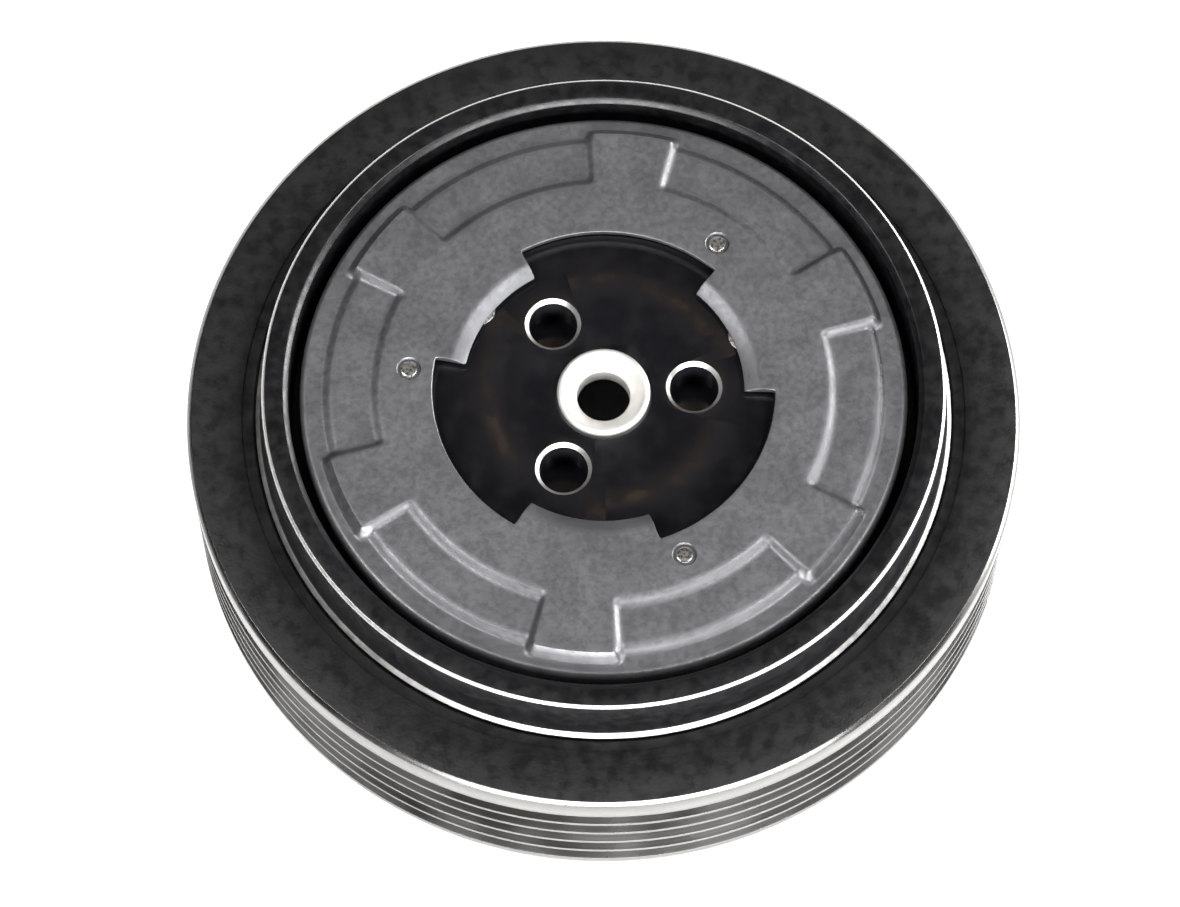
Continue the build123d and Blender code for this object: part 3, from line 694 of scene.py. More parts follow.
def ground_steel(tints):
    """Hardened bearing steel, ground: mirror bright with hair-fine hoops."""
    steel = Finish("ground_bearing_steel", tints.ground, 1.0, 0.14)
    steel.lay(steel.grain(2.5), gloss=(0.1, 0.2))
    steel.lay(steel.tool_lines(0.1, True), relief_mm=0.002)
    return steel.material


def mild_steel(tints):
    """Ground mild steel of the armature: grey, with marks that run one way."""
    steel = Finish("ground_mild_steel", tints.mild, 1.0, 0.34)
    marks = steel.grain(0.25, 3.0, (1.0, 0.08, 1.0))
    steel.lay(marks, gloss=(0.26, 0.44), relief_mm=0.006)
    return steel.material


def spring_strip(tints):
    """Blued spring strip: dark steel with a cold sheen and a rolled grain."""
    steel = Finish("blued_spring_strip", tints.spring, 1.0, 0.3)
    steel.lay(steel.grain(3.0, 2.0), tone=(0.7, 1.2))
    steel.lay(steel.grain(0.3), relief_mm=0.004)
    return steel.material


def plated_rivet(tints):
    """Zinc-plated rivet ends: bright, with a dimpled, hammered crown."""
    steel = Finish("plated_rivet_steel", tints.rivet, 1.0, 0.3)
    steel.lay(steel.grain(0.45, 2.0), gloss=(0.22, 0.4), relief_mm=0.03)
    return steel.material


def copper_wire(tints):
    """Enamelled copper wire in close hoops under amber enamel."""
    wire = Finish("enamelled_copper_wire", tints.copper, 0.9, 0.28)
    wire.lay(wire.tool_lines(0.6, True), tone=(0.55, 1.35), relief_mm=0.12)
    return wire.material


def drawn_brass(tints):
    """Drawn brass of the winding's two ends: warm yellow with a fine drawn grain."""
    brass = Finish("drawn_brass", tints.brass, 1.0, 0.26)
    brass.lay(brass.grain(0.2, 2.0, (1.0, 0.1, 1.0)), gloss=(0.2, 0.36), relief_mm=0.003)
    return brass.material


def moulded_rubber(tints):
    """Moulded chloroprene: dull black, faintly grey where it has bloomed."""
    rubber = Finish("moulded_black_rubber", tints.rubber, 0.0, 0.72)
    rubber.lay(rubber.grain(4.0, 4.0), tone=(0.9, 2.2))
    rubber.lay(rubber.grain(0.3), relief_mm=0.015)
    return rubber.material


def seal_rubber(tints):
    """Nitrile on a sheet ring: dark red-brown and dull."""
    rubber = Finish("nitrile_seal", tints.seal, 0.0, 0.6)
    rubber.lay(rubber.grain(3.0), tone=(0.75, 1.5))
    rubber.lay(rubber.grain(0.4), relief_mm=0.01)
    return rubber.material


def cast_resin(tints):
    """Cast epoxy over the coil: black, with a slow ripple and small craters."""
    resin = Finish("cast_black_epoxy", tints.resin, 0.0, 0.22)
    resin.lay(resin.grain(6.0, 2.0), tone=(0.8, 1.4), relief_mm=0.12)
    resin.lay(resin.grain(0.9, 1.0), relief_mm=0.02)
    return resin.material


def filled_nylon(tints):
    """Glass-filled nylon bobbin: dull black with short fibre flecks."""
    nylon = Finish("glass_filled_nylon", tints.bobbin, 0.0, 0.5)
    nylon.lay(nylon.grain(0.35, 2.0), tone=(0.9, 2.4), relief_mm=0.008, limits=(0.6, 0.7))
    return nylon.material


def natural_nylon(tints):
    """Natural nylon of the bearing's cages: cream and waxy."""
    nylon = Finish("natural_nylon", tints.cage, 0.0, 0.4)
    nylon.lay(nylon.grain(5.0, 2.0), tone=(0.88, 1.1))
    nylon.lay(nylon.grain(0.5), relief_mm=0.006)
    return nylon.material


def friction_lining(tints):
    """Pressed friction lining: brown-black and gritty, with pale chips."""
    lining = Finish("pressed_friction_lining", tints.lining, 0.0, 0.82)
    lining.lay(lining.grain(0.6, 1.0), tone=(0.8, 5.0), limits=(0.62, 0.72))
    lining.lay(lining.grain(0.4, 4.0), relief_mm=0.05)
    return lining.material


def studio_board(tints):
    """Pale matt board with a paper tooth and a painted glow round the object, which fades to a
    painted shade under it: almost no shadow.
    """
    board = Finish("matt_studio_board_with_painted_glow", tints.floor, 0.0, 0.9)
    board.shader.inputs["Emission Color"].default_value = (1, 1, 1, 1)
    # painted light and shade: the board glows from 58 mm out and not at all within 50 mm, so the
    # floor under and beside the object is painted darker
    settings = {"operation": "LENGTH"}
    reach = add_node(board.tree, "ShaderNodeVectorMath", settings, {0: board.place})
    inputs = {"Value": reach.outputs["Value"], "To Max": 0.45}
    inputs.update({"From Min": 50 * MM, "From Max": 58 * MM})  # dark under the object
    painted_glow = add_node(board.tree, "ShaderNodeMapRange", None, inputs).outputs["Result"]
    board.tree.links.new(painted_glow, board.shader.inputs["Emission Strength"])
    board.lay(board.grain(60.0, 2.0), tone=(0.985, 1.0))
    board.lay(board.grain(0.5), relief_mm=0.01)
    return board.material


made_finishes = {}


def finish(maker):
    """The material that a maker gives, made once and shared."""
    if maker not in made_finishes:
        made_finishes[maker] = maker(bpy.context.scene.clutch_finishes)
    return made_finishes[maker]


# ---------------------------------------------------------------- pulley
def rim_outline(size):
    """Outline of the rim: back face, belt grooves, bare chamfers and the stepped face."""
    outline = [
        (size.bore, size.back),
        (size.radius - size.chamfer, size.back),
        (size.radius, size.back + size.chamfer),
    ]
    root = size.radius - size.depth
    half_top = (size.pitch - size.tip) / 2
    half_root = half_top - size.depth * tan(size.flank)
    for groove in reversed(range(size.grooves)):
        middle = size.face - size.band - size.pitch * (groove + 0.5)
        outline += [
            (size.radius, middle - half_top),
            (root, middle - half_root),
            (root, middle + half_root),
            (size.radius, middle + half_top),
        ]
    low_face = size.face - size.step_depth
    outline += [
        (size.radius, size.face - size.chamfer),
        (size.radius - size.chamfer, size.face),
        (size.step, size.face),
        (size.step, low_face),
        (size.bore + size.seam, low_face),
        (size.bore, low_face - size.seam),
    ]
    return outline


class CLUTCH_OT_rim(bpy.types.Operator):
    """Turns the pulley's rim with its belt grooves"""

    bl_idname = "clutch.rim"
    bl_label = "Pulley rim"

    def execute(self, context):
        size = context.scene.clutch_rim
        root = size.radius - size.depth
        rim = turned("turned_pulley_rim", rim_outline(size))
        eased(rim, size.edge)
        wear(rim, finish(rim_coating), finish(grooved_steel))

        def is_track(face):
            between = size.back + HAIR < height_at(face) < size.face - HAIR
            return between and radius_at(face) > root - size.edge

        paint_faces(rim, 1, is_track)
        set_in_place(rim, "pulley", "pulley_rim")
        return {"FINISHED"}


def rotor_outline(size, face, back, wall_front):
    """Outline of the rotor: bearing seat, friction wall, coil's room and collar."""
    wall_back = wall_front - size.wall
    seat_out = size.seat + size.seat_wall
    top = front_of("rotor")
    foot = size.radius - size.base_step
    crown = foot - size.taper
    lining_out = radius_of("friction_ring")
    lining_back = wall_front - size.lining_depth
    shoulder = size.seat - size.shoulder
    return [
        (size.seat, back_of("rotor")),
        (seat_out, back_of("rotor")),
        (seat_out, wall_back),
        (size.bore, wall_back),
        (size.bore, back),
        (size.radius, back),
        (size.radius, face),
        (foot, face + size.base_step),
        (crown, top - size.crown),
        (crown - size.crown, top),
        (size.bore + size.mouth, top),
        (size.bore, top - size.mouth),
        (size.bore, wall_front),
        (lining_out + HAIR, wall_front),
        (lining_out + HAIR, lining_back),
        (size.lining_bore, lining_back),
        (size.lining_bore, wall_front),
        (shoulder, wall_front),
        (shoulder, front_of("bearing_outer_ring")),
        (size.seat, front_of("bearing_outer_ring")),
        (size.seat, back_of("bearing_outer_ring")),
        (radius_of("bearing_circlip") + HAIR, back_of("bearing_outer_ring")),
        (radius_of("bearing_circlip") + HAIR, back_of("bearing_circlip")),
        (size.seat, back_of("bearing_circlip")),
    ]


class CLUTCH_OT_rotor(bpy.types.Operator):
    """Turns the rotor with its bright-edged collar and cuts its flux slots"""

    bl_idname = "clutch.rotor"
    bl_label = "Rotor"

    def execute(self, context):
        size = context.scene.clutch_rotor
        face, back = front_of("pulley_rim"), back_of("pulley_rim")
        wall_front, top = front_of("friction_ring"), front_of("rotor")
        rotor = turned("turned_rotor", rotor_outline(size, face, back, wall_front))
        eased(rotor, size.edge)
        slots = []
        low, high = wall_front - size.wall - OVERCUT, wall_front + OVERCUT
        for radius in (size.inner_slot, size.outer_slot):
            inner, outer = radius - size.slot_width / 2, radius + size.slot_width / 2
            outline = [(inner, low), (outer, low), (outer, high), (inner, high)]
            for middle in evenly(size.slots, 0):
                start = middle - size.slot_arc / 2
                slots.append(turned("slot", outline, SLOT_STEPS, size.slot_arc, start))
        cut_away(rotor, join_up(slots))
        wear(rotor, finish(rotor_coating), finish(bare_edge))
        foot = size.radius - size.base_step
        crown = foot - size.taper - size.crown

        def is_bare(part):
            height, radius = height_at(part), radius_at(part)
            at_foot = face - HAIR < height < face + size.base_step and radius > foot
            at_crown = height > top - size.crown and radius > crown
            return at_foot or at_crown

        paint_faces(rotor, 1, is_bare)
        set_in_place(rotor, "pulley", "rotor")
        return {"FINISHED"}


# ---------------------------------------------------------------- cover plate
def widen_ring(old, new, height):
    """In edit mode, extrudes the selected ring of edges out to a new radius."""
    grow = new / old
    bpy.ops.mesh.extrude_region_move(TRANSFORM_OT_translate={"value": (0, 0, 0)})
    bpy.ops.transform.resize(value=(grow, grow, 1), center_override=(0, 0, height))


def lift(piece, test, rise):
    """In edit mode, moves the vertices for which the test is true up or down."""
    select_parts(piece, "VERT", test)
    bpy.ops.transform.translate(value=(0, 0, rise))


def cover_rings(size):
    """Radii of the cover plate's rings of points, from a lobe's foot to the outer edge."""
    return [
        size.lobe_foot,
        size.lobe_top,
        size.lobe_top + size.support,
        size.opening,
        size.flange_room - size.support,
        size.flange_room,
        (size.flange_room + size.ring) / 2,
        size.ring - size.support,
        size.ring,
        size.ring + size.draft,
        size.ring + size.draft + size.support,
        (size.ring + size.floor) / 2,
        size.floor - size.support,
        size.floor,
        size.floor + size.draft,
        size.land,
        size.land + size.draft,
        size.land + size.draft + size.support,
        size.radius - size.rim_edge - size.support,
        size.radius - size.rim_edge,
        size.radius,
    ]


def raise_terraces(cover, size):
    """In edit mode, raises the flat rings into the rim, the floors, the lands and the ring."""
    half_land, half_lobe = size.land_width / 2, size.lobe_width / 2
    lift(cover, lambda v: radius_at(v) < size.floor + HAIR, size.step)
    lift(cover, lambda v: radius_at(v) < size.ring + HAIR, size.step)
    for middle in evenly(size.lands, size.phase):
        for outwards in reversed(range(size.end_steps)):
            half = half_land + outwards * FULL_TURN / PLATE_STEPS

            def on_land(v, inner, outer, half=half, middle=middle):
                return inner + HAIR < radius_at(v) < outer + HAIR and within_turn(v, middle, half)

            rise = size.step / size.end_steps
            lift(cover, lambda v: on_land(v, size.ring, size.floor), rise)
            lift(cover, lambda v: on_land(v, size.floor, size.land), 2 * rise)
    lift(cover, lambda v: radius_at(v) > size.radius - HAIR, -size.rim_edge)
    lift(cover, lambda v: radius_at(v) < size.lobe_foot + HAIR, -size.lobe_drop)
    lobes = evenly(size.lobes, size.phase)

    def between_lobes(v):
        inside = radius_at(v) < size.opening - HAIR
        return inside and not any(within_turn(v, lobe, half_lobe) for lobe in lobes)

    select_parts(cover, "VERT", between_lobes)
    bpy.ops.mesh.delete(type="VERT")


def give_underside(cover, size):
    """In edit mode, thickens the plate down to the armature, the springs and the hub."""
    below = size.back + HAIR
    springs = front_of("leaf_springs") + size.spring_room
    bpy.ops.mesh.select_all(action="SELECT")
    bpy.ops.mesh.extrude_region_move(TRANSFORM_OT_translate={"value": (0, 0, -EDGE_BAND)})
    bpy.ops.mesh.extrude_region_move(TRANSFORM_OT_translate={"value": (0, 0, -EDGE_BAND)})
    bpy.ops.transform.resize(value=(1, 1, 0), center_override=(0, 0, size.back))
    lift(
        cover,
        lambda v: height_at(v) < below and radius_at(v) < size.ring + HAIR,
        springs - size.back,
    )
    lift(
        cover,
        lambda v: height_at(v) < springs + HAIR and radius_at(v) < size.flange_room - HAIR,
        size.top - size.lip - springs,
    )


class CLUTCH_OT_cover(bpy.types.Operator):
    """Raises the grey cover plate's pockets, lands and lobes"""

    bl_idname = "clutch.cover"
    bl_label = "Cover plate"

    def execute(self, context):
        size, rivets = context.scene.clutch_cover, context.scene.clutch_rivets
        rim_level = size.top - 2 * size.step
        rings = cover_rings(size)
        deselect_all()
        bpy.ops.mesh.primitive_circle_add(
            vertices=PLATE_STEPS, radius=rings[0], fill_type="NOTHING", location=(0, 0, rim_level)
        )
        cover = new_piece("cast_cover_plate")
        bpy.ops.object.transform_apply(location=True, rotation=True, scale=True)
        bpy.ops.object.mode_set(mode="EDIT")
        bpy.ops.mesh.select_mode(type="VERT")
        bpy.ops.mesh.select_all(action="SELECT")
        for old, new in zip(rings, rings[1:]):
            widen_ring(old, new, rim_level)
        raise_terraces(cover, size)
        give_underside(cover, size)
        close_shell()
        bpy.ops.object.mode_set(mode="OBJECT")
        apply_modifier(cover, "SUBSURF", levels=1, render_levels=1)
        seat_floor, lead_in = size.top - rivets.seat_depth, rivets.lead_in
        outline = [
            (0, seat_floor),
            (rivets.seat - lead_in, seat_floor),
            (rivets.seat, size.top - lead_in),
            (rivets.seat + lead_in, size.top),
            (rivets.seat + lead_in, size.top + OVERCUT),
            (0, size.top + OVERCUT),
        ]
        seats = turned("rivet_seats", outline, SMALL_STEPS)
        places = evenly(size.lobes, size.phase + rivets.offset)
        cut_away(cover, round_the_axis(seats, rivets.pitch, places))
        wear(cover, finish(blasted_casting))
        set_in_place(cover, "armature", "cover_plate")
        return {"FINISHED"}


# ---------------------------------------------------------------- hub and bush
def thread_outline(radius, low, high, pitch):
    """Outline points up a threaded bore, its thread drawn as shallow rings."""
    points = []
    turns = int((high - low) / pitch)
    for ridge in range(turns):
        foot = low + ridge * pitch
        points += [(radius, foot), (radius - 0.3 * pitch, foot + pitch / 2)]
    points.append((radius, low + turns * pitch))
    return points


class CLUTCH_OT_hub(bpy.types.Operator):
    """Turns the black hub and cuts its threaded puller holes"""

    bl_idname = "clutch.hub"
    bl_label = "Hub"

    def execute(self, context):
        size, bush = context.scene.clutch_hub, context.scene.clutch_bush
        rivets, cover = context.scene.clutch_rivets, context.scene.clutch_cover
        flange_back, edge = size.top - size.flange, size.edge
        bush_seat, shim_seat = bush.radius + bush.seat, bush.shim + bush.seat
        outline = [
            (size.shaft, size.back),
            (size.boss, size.back),
            (size.boss, size.core_back),
            (size.core, size.core_back),
            (size.core, flange_back),
            (size.radius, flange_back),
            (size.radius, size.top - edge),
            (size.radius - edge, size.top),
            (bush_seat, size.top),
            (bush_seat, bush.back),
            (shim_seat, bush.back),
            (shim_seat, bush.shim_back),
            (size.shaft, bush.shim_back),
        ]
        hub = turned("turned_hub", outline)
        eased(hub, SOFT_EDGE)
        floor, ring_foot = size.top - size.hole_depth, size.top - (size.hole_ring - size.hole)
        outline = [(0, floor)]
        outline += thread_outline(size.hole, floor, ring_foot - HAIR, size.thread)
        outline += [(size.hole, ring_foot), (size.hole_ring, size.top)]
        outline += [(size.hole_ring, size.top + OVERCUT), (0, size.top + OVERCUT)]
        angles = evenly(size.holes, size.hole_phase)
        holes = turned("puller_holes", outline, HOLE_STEPS)
        cut_away(hub, round_the_axis(holes, size.hole_pitch, angles))
        outline = [
            (0, flange_back - OVERCUT),
            (rivets.hub_shank, flange_back - OVERCUT),
            (rivets.hub_shank, size.top - rivets.hub_head_height),
            (rivets.hub_head, size.top),
            (rivets.hub_head, size.top + OVERCUT),
            (0, size.top + OVERCUT),
        ]
        sinks = turned("rivet_sinks", outline, SMALL_STEPS)
        lobes = evenly(cover.lobes, cover.phase)
        cut_away(hub, round_the_axis(sinks, rivets.hub_pitch, lobes))
        wear(hub, finish(hub_enamel), finish(bare_edge))
        places = [Vector((cos(a), sin(a))) * size.hole_pitch for a in angles]

        def is_ring(face):
            middle = place_of(face)
            near = min((middle.xy - place).length for place in places) < size.hole_ring
            return near and ring_foot < middle.z < size.top - HAIR

        paint_faces(hub, 1, is_ring)
        set_in_place(hub, "hub", "hub")
        return {"FINISHED"}


class CLUTCH_OT_bush(bpy.types.Operator):
    """Turns the bright bush"""

    bl_idname = "clutch.bush"
    bl_label = "Centre bush"

    def execute(self, context):
        size = context.scene.clutch_bush
        outline = [
            (size.bore, size.back),
            (size.radius, size.back),
            (size.radius, size.top - size.edge),
            (size.radius - size.edge, size.top),
            (size.cone, size.top),
            (size.bore, size.top - (size.cone - size.bore)),
        ]
        bush = turned("turned_centre_bush", outline, BUSH_STEPS)
        eased(bush, FINE_EDGE)
        wear(bush, finish(bright_turned))
        set_in_place(bush, "hub", "centre_bush")
        return {"FINISHED"}


class CLUTCH_OT_rivets(bpy.types.Operator):
    """Turns the rivets of the cover plate and of the hub"""

    bl_idname = "clutch.rivets"
    bl_label = "Rivets"

    def execute(self, context):
        size, cover = context.scene.clutch_rivets, context.scene.clutch_cover
        seat, back = cover.top - size.seat_depth, back_of("cover_rivets")
        crown = seat + size.head_height
        outline = [
            (0, back),
            (size.tail, back),
            (size.shank, back + size.tail - size.shank),
            (size.shank, seat),
            (size.head, seat),
            (size.head, crown - size.dome),
            (size.head - 2 * size.dome, crown),
            (0, crown),
        ]
        rivets = turned("cover_plate_rivets", outline, SMALL_STEPS)
        eased(rivets, CRISP_EDGE)
        round_the_axis(rivets, size.pitch, evenly(cover.lobes, cover.phase + size.offset))
        wear(rivets, finish(plated_rivet))
        set_in_place(rivets, "armature", "cover_rivets")
        top, under = front_of("hub_rivets"), front_of("armature_plate")
        outline = [
            (0, under - size.hub_tail_height),
            (size.hub_tail, under - size.hub_tail_height),
            (size.hub_tail, under),
            (size.hub_shank - HAIR, under),
            (size.hub_shank - HAIR, top - size.hub_head_height),
            (size.hub_head - HAIR, top),
            (0, top),
        ]
        rivets = turned("sunk_hub_rivets", outline, SMALL_STEPS)
        eased(rivets, FINE_EDGE)
        round_the_axis(rivets, size.hub_pitch, evenly(cover.lobes, cover.phase))
        wear(rivets, finish(plated_rivet))
        set_in_place(rivets, "hub", "hub_rivets")
        return {"FINISHED"}


# ---------------------------------------------------------------- bearing
def race_points(size, land, outwards):
    """Outline points along a ring's land with its two ball races."""
    pitch = (size.inner + size.outer) / 2
    reach = size.ball + size.race_gap
    half = (reach**2 - (pitch - land) ** 2) ** 0.5
    points = []
    for row in (-0.5, 0.5):
        centre = (size.back + size.front) / 2 + row * size.rows
        points.append((land, centre - half))
        for step in range(1, RACE_POINTS):
            height = half * (2 * step / RACE_POINTS - 1)
            points.append((pitch + outwards * (reach**2 - height**2) ** 0.5, centre + height))
        points.append((land, centre + half))
    return points


def bearing_ring(name, size, land, wall, outwards):
    """Turns one ring of the bearing, chamfered on the side away from the balls."""
    cut = outwards * size.chamfer
    outline = [
        (land, size.front),
        (wall - cut, size.front),
        (wall, size.front - size.chamfer),
        (wall, size.back + size.chamfer),
        (wall - cut, size.back),
        (land, size.back),
    ]
    ring = turned(name, outline + race_points(size, land, outwards))
    wear(ring, finish(ground_steel))
    return ring


class CLUTCH_OT_bearing(bpy.types.Operator):
    """Turns the bearing's rings, seals and circlip"""

    bl_idname = "clutch.bearing"
    bl_label = "Bearing"

    def execute(self, context):
        size = context.scene.clutch_bearing
        ring = bearing_ring("ground_inner_ring", size, size.inner, size.bore, -1)
        set_in_place(ring, "stator", "bearing_inner_ring")
        ring = bearing_ring("ground_outer_ring", size, size.outer, size.radius, 1)
        set_in_place(ring, "pulley", "bearing_outer_ring")
        for node in ("bearing_front_seal", "bearing_rear_seal"):
            low, high = back_of(node), front_of(node)
            lip, web = size.inner + size.race_gap, size.outer - size.lip
            outline = [
                (lip, (low + high) / 2),
                (lip + size.lip / 2, low),
                (lip + size.lip, low + size.dish),
                (web, low + size.dish),
                (web + size.lip / 2, low),
                (size.outer, low),
                (size.outer, high),
                (web + size.lip / 2, high),
                (web, high - size.dish),
                (lip + size.lip, high - size.dish),
                (lip + size.lip / 2, high),
            ]
            seal = turned(node + "_moulding", outline, SEAL_STEPS)
            eased(seal, CRISP_EDGE)
            wear(seal, finish(seal_rubber))
            set_in_place(seal, "pulley", node)
        low, high = back_of("bearing_circlip"), front_of("bearing_circlip")
        edge = radius_of("bearing_circlip")
        outline = [(size.circlip_bore, low), (edge, low), (edge, high), (size.circlip_bore, high)]
        start = -pi / 2 + size.circlip_gap / 2
        arc = FULL_TURN - size.circlip_gap
        circlip = turned("stamped_circlip", outline, CLIP_STEPS, arc, start)
        eased(circlip, SOFT_EDGE)
        wear(circlip, finish(spring_strip))
        set_in_place(circlip, "pulley", "bearing_circlip")
        return {"FINISHED"}


# ---------------------------------------------------------------- stator
class CLUTCH_OT_coil(bpy.types.Operator):
    """Turns the coil's shell and its rivets"""

    bl_idname = "clutch.coil"
    bl_label = "Coil shell"

    def execute(self, context):
        size = context.scene.clutch_coil
        floor = size.back + size.floor
        outline = [
            (size.bore, size.back),
            (size.radius, size.back),
            (size.radius, size.front),
            (size.radius - size.wall, size.front),
            (size.radius - size.wall, floor),
            (size.bore + size.wall, floor),
            (size.bore + size.wall, size.front),
            (size.bore, size.front),
        ]
        shell = turned("pressed_coil_shell", outline)
        eased(shell, size.edge)
        low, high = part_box("lead_gland")
        deselect_all()
        bpy.ops.mesh.primitive_cube_add(size=1, location=(0, high.y, (low.z + high.z) / 2))
        window = new_piece("outlet_window")
        room = 2 * size.window_gap
        depth = 2 * (high.y - low.y) + room
        window.scale = (high.x - low.x + room, depth, high.z - low.z + room)
        bpy.ops.object.transform_apply(location=True, rotation=True, scale=True)
        cut_away(shell, window)
        wear(shell, finish(zinc_plate))
        set_in_place(shell, "stator", "coil_shell")
        tail = floor + size.rivet_tail
        outline = [
            (0, 0),
            (size.rivet_head, 0),
            (size.rivet, size.rivet_head - size.rivet),
            (size.rivet, floor),
            (size.rivet_head, floor),
            (size.rivet, tail),
            (0, tail),
        ]
        rivets = turned("coil_shell_rivets", outline, SMALL_STEPS)
        eased(rivets, FINE_EDGE)
        pitch = (size.bore + size.radius) / 2
        round_the_axis(rivets, pitch, evenly(size.rivets, size.rivet_phase))
        wear(rivets, finish(plated_rivet))
        set_in_place(rivets, "stator", "coil_rivets")
        return {"FINISHED"}


class CLUTCH_OT_plate(bpy.types.Operator):
    """Refines the mounting plate, the lead's outlet and the winding's ends"""

    bl_idname = "clutch.plate"
    bl_label = "Mounting plate"

    def execute(self, context):
        size = context.scene.clutch_plate
        plate = refined_copy("pressed_mounting_plate", "mounting_plate", size.edge)
        wear(plate, finish(zinc_plate))
        set_in_place(plate, "stator", "mounting_plate")
        gland = refined_copy("moulded_lead_outlet", "lead_gland", size.gland_edge)
        wear(gland, finish(moulded_rubber))
        set_in_place(gland, "stator", "lead_gland")
        ends = refined_copy("drawn_winding_ends", "lead_terminals", size.end_edge)
        wear(ends, finish(drawn_brass))
        set_in_place(ends, "stator", "lead_terminals")
        return {"FINISHED"}


class CLUTCH_OT_inner_pieces(bpy.types.Operator):
    """Gives the pieces that stay as packed their finishes"""

    bl_idname = "clutch.inner_pieces"
    bl_label = "Inner pieces"

    def execute(self, context):
        kept = {
            "armature_plate": mild_steel,
            "gap_shims": ground_steel,
            "leaf_springs": spring_strip,
            "rubber_stops": moulded_rubber,
            "friction_ring": friction_lining,
            "bearing_balls": ground_steel,
            "bearing_cages": natural_nylon,
            "coil_winding": copper_wire,
            "coil_bobbin": filled_nylon,
            "coil_resin": cast_resin,
        }
        for node, maker in kept.items():
            wear(frame["nodes"][node], finish(maker))
        return {"FINISHED"}


# ---------------------------------------------------------------- stage
# name, place, width and height in metres, power in watts, colour
SOFTBOXES = (
    ("left_softbox", (-0.5, -0.1, 0.85), 0.3, 0.45, 5, (1, 1, 1)),
    ("right_softbox", (0.5, -0.1, 0.85), 0.3, 0.45, 5, (1, 1, 1)),
    ("front_softbox", (0.15, -1.2, 0.5), 1.8, 0.5, 46, (1, 1, 1)),
    ("low_right_softbox", (1.1, 0.35, 0.25), 0.8, 0.35, 18, (1, 1, 1)),
    ("back_softbox", (0, 1.1, 0.9), 1.2, 0.4, 2, (1, 1, 1)),
    ("warm_card", (0.01, 0.42, 0.948), 0.06, 0.02, 0.02, (1, 0.62, 0.3)),
    ("cold_card", (0.035, 0.369, 0.96), 0.06, 0.03, 0.008, (0.7, 0.8, 1)),
)


def add_softbox(name, place, width, height, power, colour):
    """A rectangular area light that faces the object."""
    aim = Vector((0, 0, 0.02)) - Vector(place)
    turned_to = aim.to_track_quat("-Z", "Y").to_euler()
    bpy.ops.object.light_add(type="AREA", location=place, rotation=turned_to)
    light = bpy.context.object
    light.name = name
    light.data.shape = "RECTANGLE"
    light.data.size = width
    light.data.size_y = height
    light.data.energy = power
    light.data.color = colour


class CLUTCH_OT_stage(bpy.types.Operator):
    """Lays the floor and sets the lights and the camera"""

    bl_idname = "clutch.stage"
    bl_label = "Stage"

    def execute(self, context):
        size = context.scene.clutch_stage
        deselect_all()
        bpy.ops.mesh.primitive_plane_add(size=size.floor, location=(0, 0, 0))
        board = new_piece("studio_floor")
        wear(board, finish(studio_board))

        # a pale room that darkens overhead, so that flat black faces stay black
        world = bpy.data.worlds.new("studio")
        context.scene.world = world
        world.use_nodes = True
        tree = world.node_tree
        place = add_node(tree, "ShaderNodeTexCoord").outputs["Generated"]
        up = add_node(tree, "ShaderNodeSeparateXYZ", None, {"Vector": place}).outputs["Z"]
        inputs = {"Value": up, "From Min": 0.1, "From Max": 0.8, "To Min": 1.0, "To Max": 0.1}
        shade = add_node(tree, "ShaderNodeMapRange", None, inputs).outputs["Result"]
        tree.links.new(shade, tree.nodes["Background"].inputs["Strength"])

        for softbox in SOFTBOXES:
            add_softbox(*softbox)

        back = Vector((0, -cos(size.elevation), sin(size.elevation)))
        above = Vector((0, sin(size.elevation), cos(size.elevation))) * size.above
        middle = Vector((-size.aside, 0, front_of("pulley_rim")))
        place = middle + back * size.distance - above
        tilt = (pi / 2 - size.elevation, 0, 0)
        bpy.ops.object.camera_add(location=place, rotation=tilt)
        camera = context.object
        camera.name = "camera"
        camera.data.sensor_width = size.sensor_mm
        camera.data.lens = size.lens_mm
        camera.data.clip_start = size.near
        context.scene.camera = camera
        context.scene.view_settings.view_transform = "Standard"
        return {"FINISHED"}


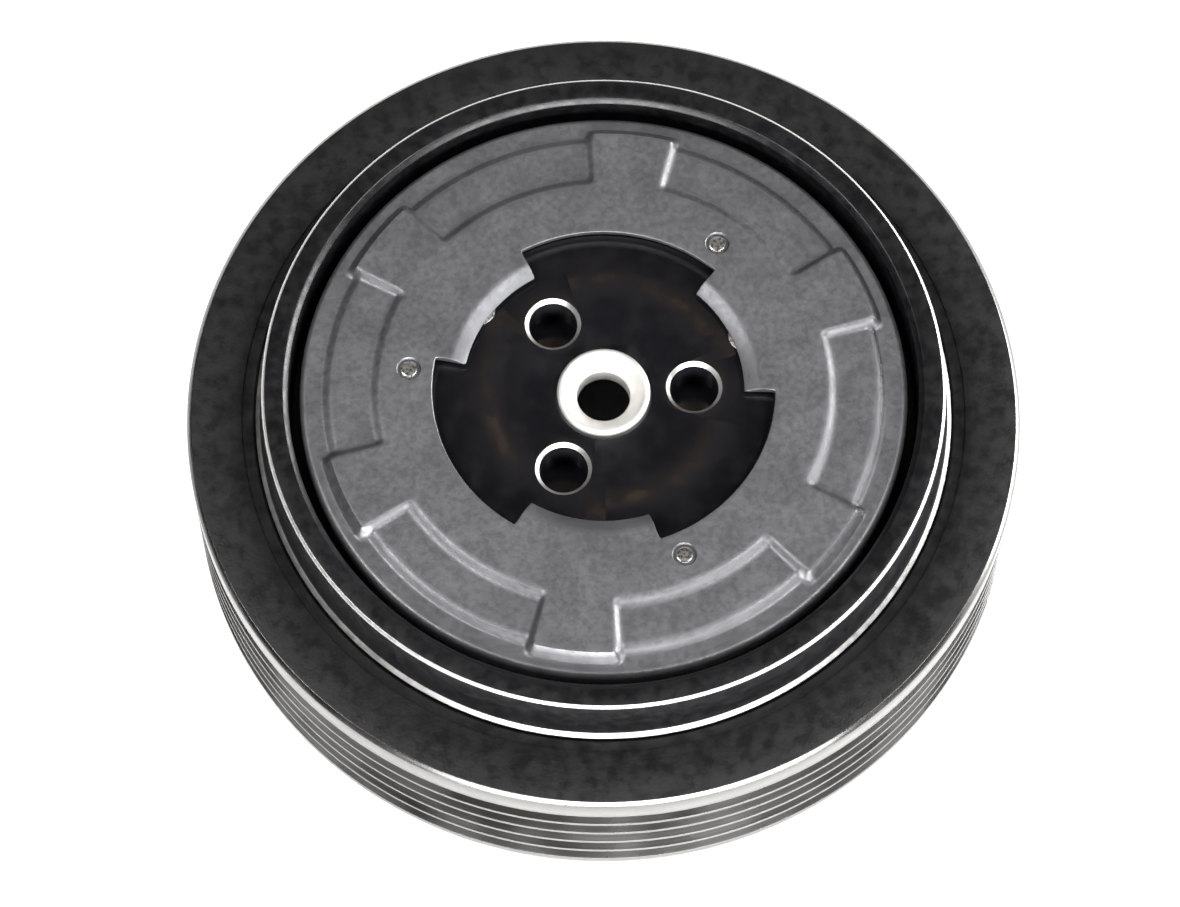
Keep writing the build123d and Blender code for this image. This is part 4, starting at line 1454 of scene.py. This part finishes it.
# ---------------------------------------------------------------- panel and running
operators = (
    CLUTCH_OT_rim,
    CLUTCH_OT_rotor,
    CLUTCH_OT_cover,
    CLUTCH_OT_hub,
    CLUTCH_OT_bush,
    CLUTCH_OT_rivets,
    CLUTCH_OT_bearing,
    CLUTCH_OT_coil,
    CLUTCH_OT_plate,
    CLUTCH_OT_inner_pieces,
    CLUTCH_OT_stage,
)
groups = {
    "clutch_rim": RimSizes,
    "clutch_rotor": RotorSizes,
    "clutch_cover": CoverSizes,
    "clutch_hub": HubSizes,
    "clutch_bush": BushSizes,
    "clutch_rivets": RivetSizes,
    "clutch_bearing": BearingSizes,
    "clutch_coil": CoilSizes,
    "clutch_plate": PlateSizes,
    "clutch_stage": StageSizes,
    "clutch_finishes": Finishes,
}


class CLUTCH_PT_panel(bpy.types.Panel):
    """Lists the steps that build the clutch"""

    bl_idname = "CLUTCH_PT_panel"
    bl_label = "Electromagnetic clutch"
    bl_space_type = "VIEW_3D"
    bl_region_type = "UI"
    bl_category = "Clutch"

    def draw(self, context):
        for operator in operators:
            self.layout.operator(operator.bl_idname)


def register():
    """Registers the sizes, the steps and the panel."""
    for name, group in groups.items():
        bpy.utils.register_class(group)
        setattr(bpy.types.Scene, name, bpy.props.PointerProperty(type=group))
    for operator in operators:
        bpy.utils.register_class(operator)
    bpy.utils.register_class(CLUTCH_PT_panel)


def unregister():
    """Removes what register added."""
    bpy.utils.unregister_class(CLUTCH_PT_panel)
    for operator in reversed(operators):
        bpy.utils.unregister_class(operator)
    for name, group in reversed(groups.items()):
        delattr(bpy.types.Scene, name)
        bpy.utils.unregister_class(group)


def main():
    """Builds the clutch and its stage."""
    register()
    bpy.ops.clutch.rim()
    bpy.ops.clutch.rotor()
    bpy.ops.clutch.cover()
    bpy.ops.clutch.hub()
    bpy.ops.clutch.bush()
    bpy.ops.clutch.rivets()
    bpy.ops.clutch.bearing()
    bpy.ops.clutch.coil()
    bpy.ops.clutch.plate()
    bpy.ops.clutch.inner_pieces()
    bpy.ops.clutch.stage()


if __name__ == "__main__":
    main()
